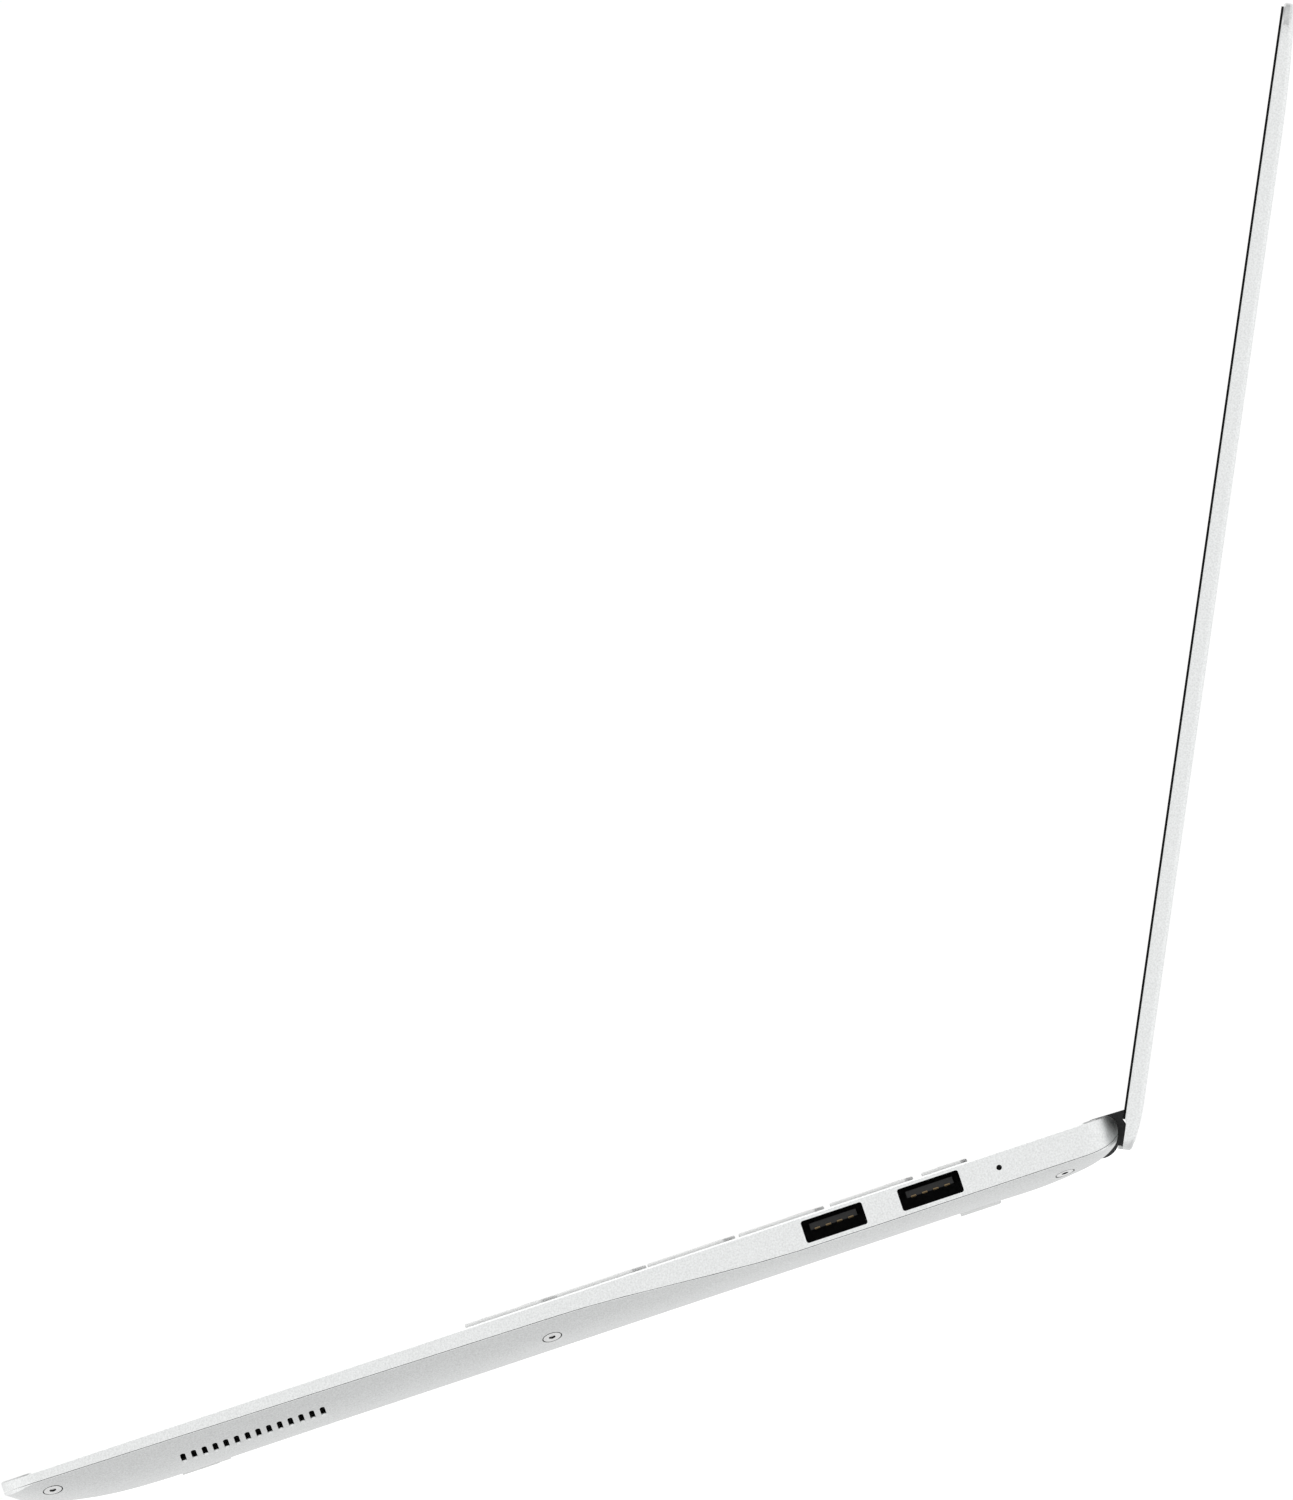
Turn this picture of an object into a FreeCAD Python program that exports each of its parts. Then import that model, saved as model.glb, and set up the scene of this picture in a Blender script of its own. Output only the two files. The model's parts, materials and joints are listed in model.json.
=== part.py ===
import FreeCAD, Part
import Sketcher
import math
import os
from FreeCAD import Placement, Rotation, Vector

# A slim 15.6 inch class laptop computer, standing open.
#
# Every piece is drawn in the base's own coordinates, with the lid lying closed: X is 0 on the centre line and
# grows to the user's right, Y is 0 at the front edge and grows to the rear, Z is 0 at the deck's top face.
# A Placement then carries each piece into the part's frame, and turns the lid's pieces open about the hinge.

SIZES = {
    # Base casing
    "case_width": 357.8,
    "case_depth": 230.0,
    "front_height": 9.6,
    "rear_height": 9.3,
    "foot_height": 0.4,
    "front_corner": 7.0,
    "rear_corner": 7.5,
    "edge_bevel": 0.3,
    "deck_thickness": 1.2,
    "side_wall": 1.6,
    "floor_thickness": 0.8,
    "seam_gap": 0.1,
    "wall_front": 2.2,
    "wall_middle": 3.52,
    "wall_rear": 6.42,
    # Hinge
    "hinge_from_front": 225.8,
    "hinge_drop": 3.9,
    "open_angle": 116.5,
    "barrel_radius": 4.0,
    "barrel_gap": 0.4,
    "ear_inner": 149.0,
    "ear_wall": 1.2,
    "bar_end": 148.6,
    "shaft_radius": 1.5,
    "shaft_bore": 0.8,
    "running_gap": 0.05,
    # Lid, lying closed
    "lid_depth": 227.3,
    "rubber_face": 0.14,
    "lid_face": 0.62,
    "glass_face": 1.05,
    "lid_top": 3.8,
    "lid_floor": 0.75,
    "lid_wall": 1.5,
    "lid_corner": 8.0,
    "screen_width": 344.2,
    "screen_height": 193.6,
    "screen_margin": 8.2,
    # Keyboard
    "key_pitch_across": 19.05,
    "key_pitch_along": 18.9,
    "key_gap": 2.8,
    "key_top": 0.7,
    "key_underside": 0.55,
    "key_clearance": 0.35,
    "front_row_middle": 103.8,
    "function_row_middle": 194.65,
    "function_key_depth": 8.6,
    "plate_top": 2.6,
    "plate_thickness": 0.5,
    "membrane_thickness": 0.25,
    # Touchpad
    "pad_width": 120.0,
    "pad_front": 17.0,
    "pad_rear": 87.0,
    "pad_gap": 0.3,
    "pad_corner": 3.0,
    # Sockets on the right
    "usb_width": 12.6,
    "usb_height": 4.5,
    "usb_top": 0.9,
    "usb_front_middle": 171.3,
    "usb_rear_middle": 191.2,
    "usb_length": 13.7,
    "socket_setback": 1.7,
    "shell_sheet": 0.3,
    # Inside
    "board_top": 3.6,
    "board_thickness": 1.0,
    "fan_middle_across": 105.0,
    "fan_middle_along": 162.0,
    "blade_radius": 27.0,
}

document = FreeCAD.newDocument("laptop")
sheet = document.addObject("Spreadsheet::Sheet", "Sizes")
for row, (name, value) in enumerate(SIZES.items(), start=1):
    sheet.set(f"A{row}", name)
    sheet.set(f"B{row}", str(value))
    sheet.setAlias(f"B{row}", name)
document.recompute()


# ---------------------------------------------------------------- sizes that keep their formula


class Size:
    """A length with its value now and the sheet formula that it comes from."""

    def __init__(self, value, formula=None):
        self.value = float(value)
        self.formula = formula or repr(float(value))

    def combine(self, other, sign, value):
        return Size(value, f"({self.formula} {sign} {as_size(other).formula})")

    def __add__(self, other):
        return self.combine(other, "+", self.value + as_size(other).value)

    def __sub__(self, other):
        return self.combine(other, "-", self.value - as_size(other).value)

    def __mul__(self, other):
        return self.combine(other, "*", self.value * as_size(other).value)

    def __truediv__(self, other):
        return self.combine(other, "/", self.value / as_size(other).value)

    def __neg__(self):
        return Size(-self.value, f"(0 - {self.formula})")

    def __float__(self):
        return self.value


def as_size(length):
    return length if isinstance(length, Size) else Size(length)


def size(name):
    return Size(sheet.get(name), f"Sizes.{name}")


half_width = size("case_width") / 2
hinge_y = size("hinge_from_front")
hinge_z = -size("hinge_drop")
HINGE = Vector(0, float(hinge_y), float(hinge_z))
BARREL = float(size("barrel_radius"))
WIDE = 400.0

# ---------------------------------------------------------------- the part's frame

OPEN_DEPTH = 332.12
FRAME_SHIFT = Vector(0, -OPEN_DEPTH / 2, float(size("front_height") + size("foot_height")))
BASE = Placement(FRAME_SHIFT, Rotation())
OPENING = Rotation(Vector(-1, 0, 0), float(size("open_angle")))
LID = BASE * Placement(HINGE, OPENING) * Placement(-HINGE, Rotation())
nodes = []


def keep(piece, label, frame):
    """Names a finished piece, carries it into the part's frame and lists it for writing."""
    piece.Label = label
    piece.Placement = frame
    nodes.append(piece)
    return piece


# ---------------------------------------------------------------- PartDesign helpers


def new_body(name):
    return document.addObject("PartDesign::Body", name)


def new_sketch(body, role, offset=0.0):
    """An empty sketch on one of the body's own origin planes, moved along that plane's normal."""
    sketch = body.newObject("Sketcher::SketchObject", "outline")
    plane = next(f for f in body.Origin.OriginFeatures if f.Role == role)
    sketch.AttachmentSupport = (plane, [""])
    sketch.MapMode = "FlatFace"
    sketch.AttachmentOffset = Placement(Vector(0, 0, float(offset)), Rotation())
    sketch.setExpression("AttachmentOffset.Base.z", as_size(offset).formula)
    return sketch


def drive(sketch, kind, *where):
    """Adds one dimension and binds it to its formula. The length comes last."""
    length = as_size(where[-1])
    index = sketch.addConstraint(Sketcher.Constraint(kind, *where[:-1], length.value))
    sketch.setExpression(f"Constraints[{index}]", length.formula)


def sketch_rectangle(sketch, left, right, front, rear, radius=None):
    """A rectangle, with round corners if a radius is given."""
    edge = [float(left), float(right), float(front), float(rear)]
    x_low, x_high, y_low, y_high = edge
    r = float(radius) if radius else 0.0
    ends = [
        ((x_low + r, y_low), (x_high - r, y_low)),
        ((x_high, y_low + r), (x_high, y_high - r)),
        ((x_high - r, y_high), (x_low + r, y_high)),
        ((x_low, y_high - r), (x_low, y_low + r)),
    ]
    sides = [sketch.addGeometry(Part.LineSegment(Vector(*a, 0), Vector(*b, 0))) for a, b in ends]
    for side, direction in zip(sides, ("Horizontal", "Vertical", "Horizontal", "Vertical")):
        sketch.addConstraint(Sketcher.Constraint(direction, side))
    if radius:
        middles = [
            (x_high - r, y_low + r),
            (x_high - r, y_high - r),
            (x_low + r, y_high - r),
            (x_low + r, y_low + r),
        ]
        corners = []
        for index, middle in enumerate(middles):
            turn = (index - 1) * math.pi / 2
            circle = Part.Circle(Vector(*middle, 0), Vector(0, 0, 1), r)
            corner = sketch.addGeometry(Part.ArcOfCircle(circle, turn, turn + math.pi / 2))
            sketch.addConstraint(Sketcher.Constraint("Tangent", sides[index], 2, corner, 1))
            sketch.addConstraint(Sketcher.Constraint("Tangent", corner, 2, sides[(index + 1) % 4], 1))
            corners.append(corner)
        for corner in corners[1:]:
            sketch.addConstraint(Sketcher.Constraint("Equal", corners[0], corner))
        drive(sketch, "Radius", corners[0], radius)
    else:
        for index in range(4):
            following = sides[(index + 1) % 4]
            sketch.addConstraint(Sketcher.Constraint("Coincident", sides[index], 2, following, 1))
    drive(sketch, "DistanceY", sides[0], 1, front)
    drive(sketch, "DistanceX", sides[1], 1, right)
    drive(sketch, "DistanceY", sides[2], 1, rear)
    drive(sketch, "DistanceX", sides[3], 1, left)


def sketch_circle(sketch, x, y, radius):
    circle = sketch.addGeometry(Part.Circle(Vector(float(x), float(y), 0), Vector(0, 0, 1), float(radius)))
    drive(sketch, "DistanceX", circle, 3, x)
    drive(sketch, "DistanceY", circle, 3, y)
    drive(sketch, "Radius", circle, radius)


def pad(body, sketch, length):
    """Grows the sketch along its plane's normal."""
    feature = body.newObject("PartDesign::Pad", "pad")
    feature.Profile = sketch
    feature.Length = float(length)
    feature.setExpression("Length", as_size(length).formula)
    return feature


def pocket(body, sketch, length):
    """Cuts the sketch along its plane's normal."""
    feature = body.newObject("PartDesign::Pocket", "pocket")
    feature.Profile = sketch
    feature.Length = float(length)
    feature.setExpression("Length", as_size(length).formula)
    feature.Reversed = True
    return feature


def slab(body, left, right, front, rear, low, high, radius=None):
    """Adds a block of material between two heights."""
    sketch = new_sketch(body, "XY_Plane", low)
    sketch_rectangle(sketch, left, right, front, rear, radius)
    return pad(body, sketch, as_size(high) - low)


def window(body, left, right, front, rear, low, high, radius=None):
    """Cuts a block of space between two heights."""
    sketch = new_sketch(body, "XY_Plane", low)
    sketch_rectangle(sketch, left, right, front, rear, radius)
    return pocket(body, sketch, as_size(high) - low)


def disc(body, x, y, radius, low, high):
    sketch = new_sketch(body, "XY_Plane", low)
    sketch_circle(sketch, x, y, radius)
    return pad(body, sketch, as_size(high) - low)


def round_hole(body, x, y, radius, low, high):
    sketch = new_sketch(body, "XY_Plane", low)
    sketch_circle(sketch, x, y, radius)
    return pocket(body, sketch, as_size(high) - low)


# ---------------------------------------------------------------- Part helpers


def place(piece, x, y, z, rotation=None):
    """Puts a primitive at a point whose coordinates stay bound to the sheet."""
    piece.Placement = Placement(Vector(float(x), float(y), float(z)), rotation or Rotation())
    for axis, length in (("x", x), ("y", y), ("z", z)):
        piece.setExpression(f"Placement.Base.{axis}", as_size(length).formula)


def block(left, right, front, rear, low, high):
    piece = document.addObject("Part::Box", "block")
    for side, length in (
        ("Length", as_size(right) - left),
        ("Width", as_size(rear) - front),
        ("Height", as_size(high) - low),
    ):
        setattr(piece, side, float(length))
        piece.setExpression(side, length.formula)
    place(piece, left, front, low)
    return piece


ALONG_X = Rotation(Vector(0, 1, 0), 90)
ALONG_Z = Rotation()


def rod(x, y, z, radius, length, direction=ALONG_X):
    """A round bar that starts at a point and runs along X, or along Z."""
    piece = document.addObject("Part::Cylinder", "rod")
    piece.Radius = float(radius)
    piece.setExpression("Radius", as_size(radius).formula)
    piece.Height = float(length)
    piece.setExpression("Height", as_size(length).formula)
    place(piece, x, y, z, direction)
    return piece


def cut(base, *tools):
    piece = document.addObject("Part::Cut", "cut")
    piece.Base = base
    piece.Tool = join(*tools) if len(tools) > 1 else tools[0]
    return piece


def join(*pieces):
    piece = document.addObject("Part::MultiFuse", "join")
    piece.Shapes = list(pieces)
    return piece


def group(*pieces):
    """Several separate solids in one piece."""
    piece = document.addObject("Part::Compound", "group")
    piece.Links = list(pieces)
    return piece


def mirrored(piece):
    """The same piece on the other side of the centre line."""
    twin = document.addObject("Part::Mirroring", "twin")
    twin.Source = piece
    twin.Normal = Vector(1, 0, 0)
    return twin


def pair(piece):
    return group(piece, mirrored(piece))


def shaped(name, shape):
    """A piece whose form Part's own functions made."""
    piece = document.addObject("Part::Feature", name)
    piece.Shape = shape
    return piece


# ---------------------------------------------------------------- free-form helpers


def rounded_outline(left, right, front, rear, front_radius, rear_radius):
    """A level outline with its own corner radius at the front and at the rear."""
    slant = 1 - math.sqrt(0.5)
    path = []
    corners = [
        (right, front, front_radius, -1, 1),
        (right, rear, rear_radius, -1, -1),
        (left, rear, rear_radius, 1, -1),
        (left, front, front_radius, 1, 1),
    ]
    for index, (x, y, r, inward_x, inward_y) in enumerate(corners):
        beside_x = Vector(x + inward_x * r, y, 0)
        beside_y = Vector(x, y + inward_y * r, 0)
        middle = Vector(x + inward_x * r * slant, y + inward_y * r * slant, 0)
        path.append((beside_x, middle, beside_y) if index % 2 == 0 else (beside_y, middle, beside_x))
    edges = []
    for arc, following in zip(path, path[1:] + path[:1]):
        edges.append(Part.Arc(*arc).toShape())
        if (following[0] - arc[2]).Length > 1e-6:
            edges.append(Part.LineSegment(arc[2], following[0]).toShape())
    return Part.Wire(edges)


def upright(outline, low, high):
    """A solid with a level outline between two heights."""
    solid = Part.Face(outline).extrude(Vector(0, 0, high - low))
    solid.translate(Vector(0, 0, low))
    return solid


def rounded_block(left, right, front, rear, low, high, radius):
    return upright(rounded_outline(left, right, front, rear, radius, radius), low, high)


def plain_block(left, right, front, rear, low, high):
    return Part.makeBox(right - left, rear - front, high - low, Vector(left, front, low))


def side_slice(edges, left, right):
    """A solid whose outline is drawn in the side view and which runs across the machine."""
    face = Part.Face(Part.Wire(edges))
    solid = face.extrude(Vector(right - left, 0, 0))
    solid.translate(Vector(left, 0, 0))
    return solid


def side_line(*points):
    """Straight edges through points given as (y, z)."""
    ends = [Vector(0, y, z) for y, z in points]
    return [Part.LineSegment(a, b).toShape() for a, b in zip(ends, ends[1:])]


def side_arc(*points):
    return Part.Arc(*[Vector(0, y, z) for y, z in points]).toShape()


def side_spline(points):
    curve = Part.BSplineCurve()
    curve.interpolate([Vector(0, y, z) for y, z in points])
    return curve


def height_on(curve, y):
    """The height of a side-view curve at a distance from the front."""
    low, high = curve.FirstParameter, curve.LastParameter
    for _ in range(40):
        middle = (low + high) / 2
        if curve.value(middle).y < y:
            low = middle
        else:
            high = middle
    return curve.value(low).z


def around_hinge(radius, degrees):
    """A side-view point at a bearing from the hinge line, 0 towards the rear and 90 upwards."""
    angle = math.radians(degrees)
    return HINGE.y + radius * math.cos(angle), HINGE.z + radius * math.sin(angle)


# ---------------------------------------------------------------- form of the base casing

W = float(half_width)
DEPTH = float(size("case_depth"))
DECK = -float(size("deck_thickness"))
WALL = float(size("side_wall"))
FLOOR = float(size("floor_thickness"))
EAR = float(size("ear_inner"))
EAR_WALL = float(size("ear_wall"))

# The bottom's outline in the side view: a curved nose, a nearly level run and a curved tail.
NOSE = [
    (-1.0, -1.9),
    (0.0, -2.65),
    (2.2, -4.3),
    (8.0, -6.72),
    (17.0, -8.65),
    (25.0, -9.43),
    (30.0, -9.6),
]
TAIL = [
    (215.0, -9.3),
    (219.6, -8.88),
    (224.5, -8.0),
    (227.0, -7.0),
    (228.3, -6.15),
    (231.0, -4.0),
]
NOSE_END = 30.0
TAIL_START = 215.0
nose_curve = side_spline(NOSE)
tail_curve = side_spline(TAIL)

# The side wall grows deeper between these two distances from the front, and turns up at the rear.
DEEPENING = (112.0, 166.0)
UPTURN_START = 222.0
UPTURN_DEPTH = 3.6
UPTURN_POWER = 2.3

SLOPE_POWER = 2.3
SLOPE_RUN = 10.0
SLOPE_RUN_PER_DROP = 1.3
SLOPE_LEAST_DROP = 0.25
SLOPE_STEPS = (0.0, 0.15, 0.35, 0.6, 0.8, 1.0)
OVERHANG = 2.0
LOFT_TOP = 1.2
TROUGH_WALL = 1.1
STATIONS = (
    [-0.8, 0.0, 0.8, 2.2, 4.5, 8.0, 12.0, 17.0, 23.0, 30.0, 50.0, 80.0]
    + [112.0, 118.0, 125.0, 132.0, 139.0, 146.0, 153.0, 160.0, 166.0, 180.0, 200.0]
    + [215.0, 219.0, 222.0, 224.5, 226.5, 228.0, 229.2, 230.4]
)


def belly_depth(y):
    """How far the bottom lies below the deck."""
    if y < NOSE_END:
        return -height_on(nose_curve, y)
    if y > TAIL_START:
        return -height_on(tail_curve, y)
    share = (y - NOSE_END) / (TAIL_START - NOSE_END)
    return float(size("front_height")) * (1 - share) + float(size("rear_height")) * share


def wall_depth(y):
    """How far the upright side wall reaches below the deck."""
    y = min(max(y, 0.0), DEPTH - 0.1)
    start, end = DEEPENING
    front = float(size("wall_front"))
    middle = float(size("wall_middle"))
    rear = float(size("wall_rear"))
    if y < start:
        return front + (middle - front) * y / start
    share = min((y - start) / (end - start), 1.0)
    depth = middle + (rear - middle) * share * share * (3 - 2 * share)
    if y > UPTURN_START:
        turned = ((y - UPTURN_START) / (DEPTH - UPTURN_START)) ** UPTURN_POWER
        depth -= UPTURN_DEPTH * (1 - (1 - turned) ** (1 / UPTURN_POWER))
    return depth


def slope_at(y):
    """Shoulder depth, drop and inward run of the bottom's side slope."""
    bottom = belly_depth(y)
    shoulder = min(wall_depth(y), bottom - SLOPE_LEAST_DROP)
    drop = bottom - shoulder
    return shoulder, drop, SLOPE_RUN + SLOPE_RUN_PER_DROP * drop


def slope_height(x, y):
    """Height of the bottom's outer surface under a point."""
    shoulder, drop, run = slope_at(y)
    share = min(max((W - abs(x)) / run, 0.0), 1.0)
    return -(shoulder + drop * (1 - (1 - share) ** SLOPE_POWER))


def outward(x, y):
    """Direction straight out of the bottom's outer surface."""
    step = 0.5
    across = (slope_height(x + step, y) - slope_height(x - step, y)) / (2 * step)
    along = (slope_height(x, y + step) - slope_height(x, y - step)) / (2 * step)
    return Vector(across, along, -1).normalize()


def belly_section(y):
    """One upright cross-section of the casing, wider than the casing by an overhang."""
    shoulder, drop, run = slope_at(y)
    steepness = SLOPE_POWER * drop / run
    outline = [(W + OVERHANG, OVERHANG * steepness - shoulder)]
    for share in SLOPE_STEPS:
        outline.append((W - run * share, -(shoulder + drop * (1 - (1 - share) ** SLOPE_POWER))))
    top = Vector(W + OVERHANG, y, LOFT_TOP)
    right = [Vector(x, y, z) for x, z in outline]
    left = [Vector(-x, y, z) for x, z in reversed(outline)]
    right_slope = Part.BSplineCurve()
    right_slope.interpolate(right)
    left_slope = Part.BSplineCurve()
    left_slope.interpolate(left)
    far = Vector(-top.x, y, LOFT_TOP)
    return Part.Wire(
        [
            Part.LineSegment(far, top).toShape(),
            Part.LineSegment(top, right[0]).toShape(),
            right_slope.toShape(),
            Part.LineSegment(right[-1], left[0]).toShape(),
            left_slope.toShape(),
            Part.LineSegment(left[-1], far).toShape(),
        ]
    )


def seam_slab(raise_by, above):
    """Everything above, or below, the seam line between the two halves of the casing."""
    ys = [-6.0] + [y for y in STATIONS if 0 <= y < DEPTH] + [DEPTH + 6]
    curve = side_spline([(y, raise_by - wall_depth(y)) for y in ys])
    level = 8.0 if above else -16.0
    closing = side_line((ys[-1], curve.value(curve.LastParameter).z), (ys[-1], level), (ys[0], level))
    back = side_line((ys[0], level), (ys[0], curve.value(curve.FirstParameter).z))
    return side_slice([curve.toShape()] + closing + back, -WIDE / 2, WIDE / 2)


def rear_rounding():
    """The space outside the rounded rear ends, seen from the side."""
    top_round = 2.25
    start = (DEPTH - 0.05 - top_round, 0.0)
    bend = (start[0] + top_round * math.sqrt(0.5), -top_round * (1 - math.sqrt(0.5)))
    back = (DEPTH - 0.05, -top_round)
    low = (228.2, -6.3)
    edges = [side_arc(start, bend, back), side_arc(back, (229.55, -4.3), low)]
    edges += side_line(low, (low[0], -9.0), (DEPTH + 5, -9.0), (DEPTH + 5, 2.0), (start[0], 2.0), start)
    return side_slice(edges, -WIDE / 2, WIDE / 2)


def trough(margin, reach):
    """The space between the two rear ears that the hinge bar turns in, or its walls' outer form."""
    gap = float(size("barrel_gap")) + margin
    radius = BARREL + gap
    front = (HINGE.y - 6.7 - margin, 0.0)
    distance = math.hypot(front[0] - HINGE.y, front[1] - HINGE.z)
    bearing = math.degrees(math.atan2(front[1] - HINGE.z, front[0] - HINGE.y))
    touch_bearing = bearing + math.degrees(math.acos(radius / distance))
    rear_lip = HINGE.y - 2.9 - margin
    lip_bearing = 180 + math.degrees(math.acos((HINGE.y - rear_lip) / radius))
    touch = around_hinge(radius, touch_bearing)
    lip = around_hinge(radius, lip_bearing)
    middle = around_hinge(radius, (touch_bearing + lip_bearing) / 2)
    edges = side_line((front[0], 4.0), front, touch)
    edges.append(side_arc(touch, middle, lip))
    edges += side_line(lip, (lip[0], -14.0), (DEPTH + 5, -14.0), (DEPTH + 5, 4.0), (front[0], 4.0))
    return side_slice(edges, -reach, reach)


belly = Part.makeLoft([belly_section(y) for y in STATIONS], True, False)
plan = upright(
    rounded_outline(-W, W, 0.0, DEPTH, float(size("front_corner")), float(size("rear_corner"))), -12.0, 0.0
)
plan_top = [edge for edge in plan.Edges if edge.BoundBox.ZMin > -0.01]
bevelled_plan = plan.makeChamfer(float(size("edge_bevel")), plan_top)
casing = belly.common(bevelled_plan).cut(rear_rounding())

inner_belly = belly.copy()
inner_belly.translate(Vector(0, 0, FLOOR))
inner_front_corner = float(size("front_corner")) - WALL
inner_rear_corner = float(size("rear_corner")) - WALL
inner_plan = upright(
    rounded_outline(WALL - W, W - WALL, WALL, DEPTH - WALL, inner_front_corner, inner_rear_corner),
    -12.0,
    DECK,
)
cavity = inner_belly.common(inner_plan).cut(trough(TROUGH_WALL, EAR + EAR_WALL))

# ---------------------------------------------------------------- screws that hold the bottom cover

EDGE_SCREWS = [(9.3, 4.7), (111.7, 7.1), (217.3, 8.3)]
MIDDLE_SCREWS = [(0.0, 11.5), (-48.0, 208.0), (45.0, 208.0)]


def across_at_depth(y, depth):
    """How far out from the centre line the slope reaches a depth."""
    shoulder, drop, run = slope_at(y)
    share = 1 - (1 - (depth - shoulder) / drop) ** (1 / SLOPE_POWER)
    return W - run * share


cover_screw_places = [
    (side * across_at_depth(y, depth), y) for y, depth in EDGE_SCREWS for side in (1, -1)
] + MIDDLE_SCREWS

HEAD_RADIUS = 1.8
HEAD_SINK = 0.42
HEAD_LIP = 0.05
SCREW_RADIUS = 0.95
SCREW_LENGTH = 3.4
BOSS_RADIUS = 2.3


def along_screw(x, y, start, end, radius):
    """A round bar on a cover screw's line, between two depths below the cover's surface."""
    out = outward(x, y)
    surface = Vector(x, y, slope_height(x, y))
    return Part.makeCylinder(radius, end - start, surface - out * start, -out)


def cover_screw(x, y):
    out = outward(x, y)
    surface = Vector(x, y, slope_height(x, y))
    head = along_screw(x, y, HEAD_LIP, HEAD_SINK, HEAD_RADIUS)
    shank = along_screw(x, y, HEAD_SINK, SCREW_LENGTH, SCREW_RADIUS)
    turn = Rotation(Vector(0, 0, 1), -out)
    socket_radius = 0.75
    turns = [math.radians(60 * index) for index in range(7)]
    corners = [Vector(socket_radius * math.cos(t), socket_radius * math.sin(t), 0) for t in turns]
    socket = Part.Face(Part.makePolygon(corners)).extrude(Vector(0, 0, 0.3))
    socket.Placement = Placement(surface, turn)
    return head.fuse(shank).cut(socket)


screws = Part.makeCompound([cover_screw(x, y) for x, y in cover_screw_places])
keep(shaped("bottom_cover_screws", screws), "bottom_cover_screws", BASE)

# ---------------------------------------------------------------- keyboard layout

UNIT = float(size("key_pitch_across"))
ROW_UNITS = 15.0
CAP_DEPTH = float(size("key_pitch_along") - size("key_gap"))
ARROW_SPLIT = 0.8

# Each row from the front to the rear, its keys from left to right: the node they belong to and their widths.
KEY_ROWS = [
    [
        ("bottom_row_keys", [1.25, 1, 1, 1.25]),
        ("space_bar", [5.5]),
        ("bottom_row_keys", [1, 1]),
        ("left_arrow_key", [1]),
        ("up_and_down", [1]),
        ("right_arrow_key", [1]),
    ],
    [("left_shift_key", [2.25]), ("lower_row_keys", [1] * 10), ("right_shift_key", [2.75])],
    [("home_row_keys", [1.75] + [1] * 11), ("enter_key", [2.25])],
    [("upper_row_keys", [1.5] + [1] * 12 + [1.5])],
    [("number_row_keys", [1] * 13), ("backspace_key", [2])],
    [("function_row_keys", [ROW_UNITS / 14] * 14)],
]


def key_places():
    """Every key as (node, x, y, width, depth), by its middle."""
    places = []
    for row, runs in enumerate(KEY_ROWS):
        y = float(size("front_row_middle")) + row * float(size("key_pitch_along"))
        depth = CAP_DEPTH
        if row == len(KEY_ROWS) - 1:
            y = float(size("function_row_middle"))
            depth = float(size("function_key_depth"))
        x = -ROW_UNITS / 2 * UNIT
        for node, widths in runs:
            for units in widths:
                width = units * UNIT - float(size("key_gap"))
                middle = x + units * UNIT / 2
                x += units * UNIT
                if node == "up_and_down":
                    half = (depth - ARROW_SPLIT) / 2
                    places.append(("down_arrow_key", middle, y - (half + ARROW_SPLIT) / 2, width, half))
                    places.append(("up_arrow_key", middle, y + (half + ARROW_SPLIT) / 2, width, half))
                else:
                    places.append((node, middle, y, width, depth))
    return places


CAP_CORNER = 0.8
CAP_EDGE = 0.3
STEM_RADIUS = 2.2
STEM_LENGTH = 0.3


def keycap(x, y, width, depth):
    """A flat key with a softened top edge and a short stem below."""
    top = float(size("key_top"))
    low = -float(size("key_underside"))
    cap = rounded_block(x - width / 2, x + width / 2, y - depth / 2, y + depth / 2, low, top, CAP_CORNER)
    rim = [edge for edge in cap.Edges if edge.BoundBox.ZMin > top - 0.01]
    cap = cap.makeFillet(CAP_EDGE, rim)
    stem = Part.makeCylinder(STEM_RADIUS, STEM_LENGTH + 0.1, Vector(x, y, low - STEM_LENGTH))
    return cap.fuse(stem)


def key_window(x, y, width, depth):
    gap = float(size("key_clearance"))
    reach_x = width / 2 + gap
    reach_y = depth / 2 + gap
    return rounded_block(x - reach_x, x + reach_x, y - reach_y, y + reach_y, DECK - 1, 2.0, CAP_CORNER + gap)


def make_keys():
    caps = {}
    for node, *place_and_size in key_places():
        caps.setdefault(node, []).append(keycap(*place_and_size))
    for node, solids in caps.items():
        keep(shaped(node, Part.makeCompound(solids)), node, BASE)


make_keys()


def key_windows():
    """The deck's windows; the two half-height arrow keys share one."""
    tools = []
    for node, x, y, width, depth in key_places():
        if node == "up_arrow_key":
            continue
        if node == "down_arrow_key":
            tools.append(key_window(x, y + (depth + ARROW_SPLIT) / 2, width, CAP_DEPTH))
        else:
            tools.append(key_window(x, y, width, depth))
    return tools


# ---------------------------------------------------------------- openings in the casing

USB_MIDDLES = (float(size("usb_front_middle")), float(size("usb_rear_middle")))
USB_TOP = -float(size("usb_top"))
USB_BOTTOM = USB_TOP - float(size("usb_height"))
USB_HALF = float(size("usb_width")) / 2
USB_ROUND = 0.5
LIGHT_PLACE = (205.4, -3.1)
LIGHT_HOLE = 0.55
TYPE_C_PLACE = (205.0, -3.2)
TYPE_C_SIZE = (9.0, 3.3)
HDMI_PLACE = (186.0, -3.3)
HDMI_SIZE = (14.2, 4.6)
JACK_PLACE = (168.0, -3.4)
JACK_BORE = 1.8
POWER_PLACE = (139.0, 209.3)
POWER_RADIUS = 6.2
SLOT_COUNT = 14
SLOT_PITCH = 2.22
SLOT_FIRST = 35.6
SLOT_WIDTH = 1.05
SLOT_DEPTHS = (5.85, 7.55)


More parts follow.
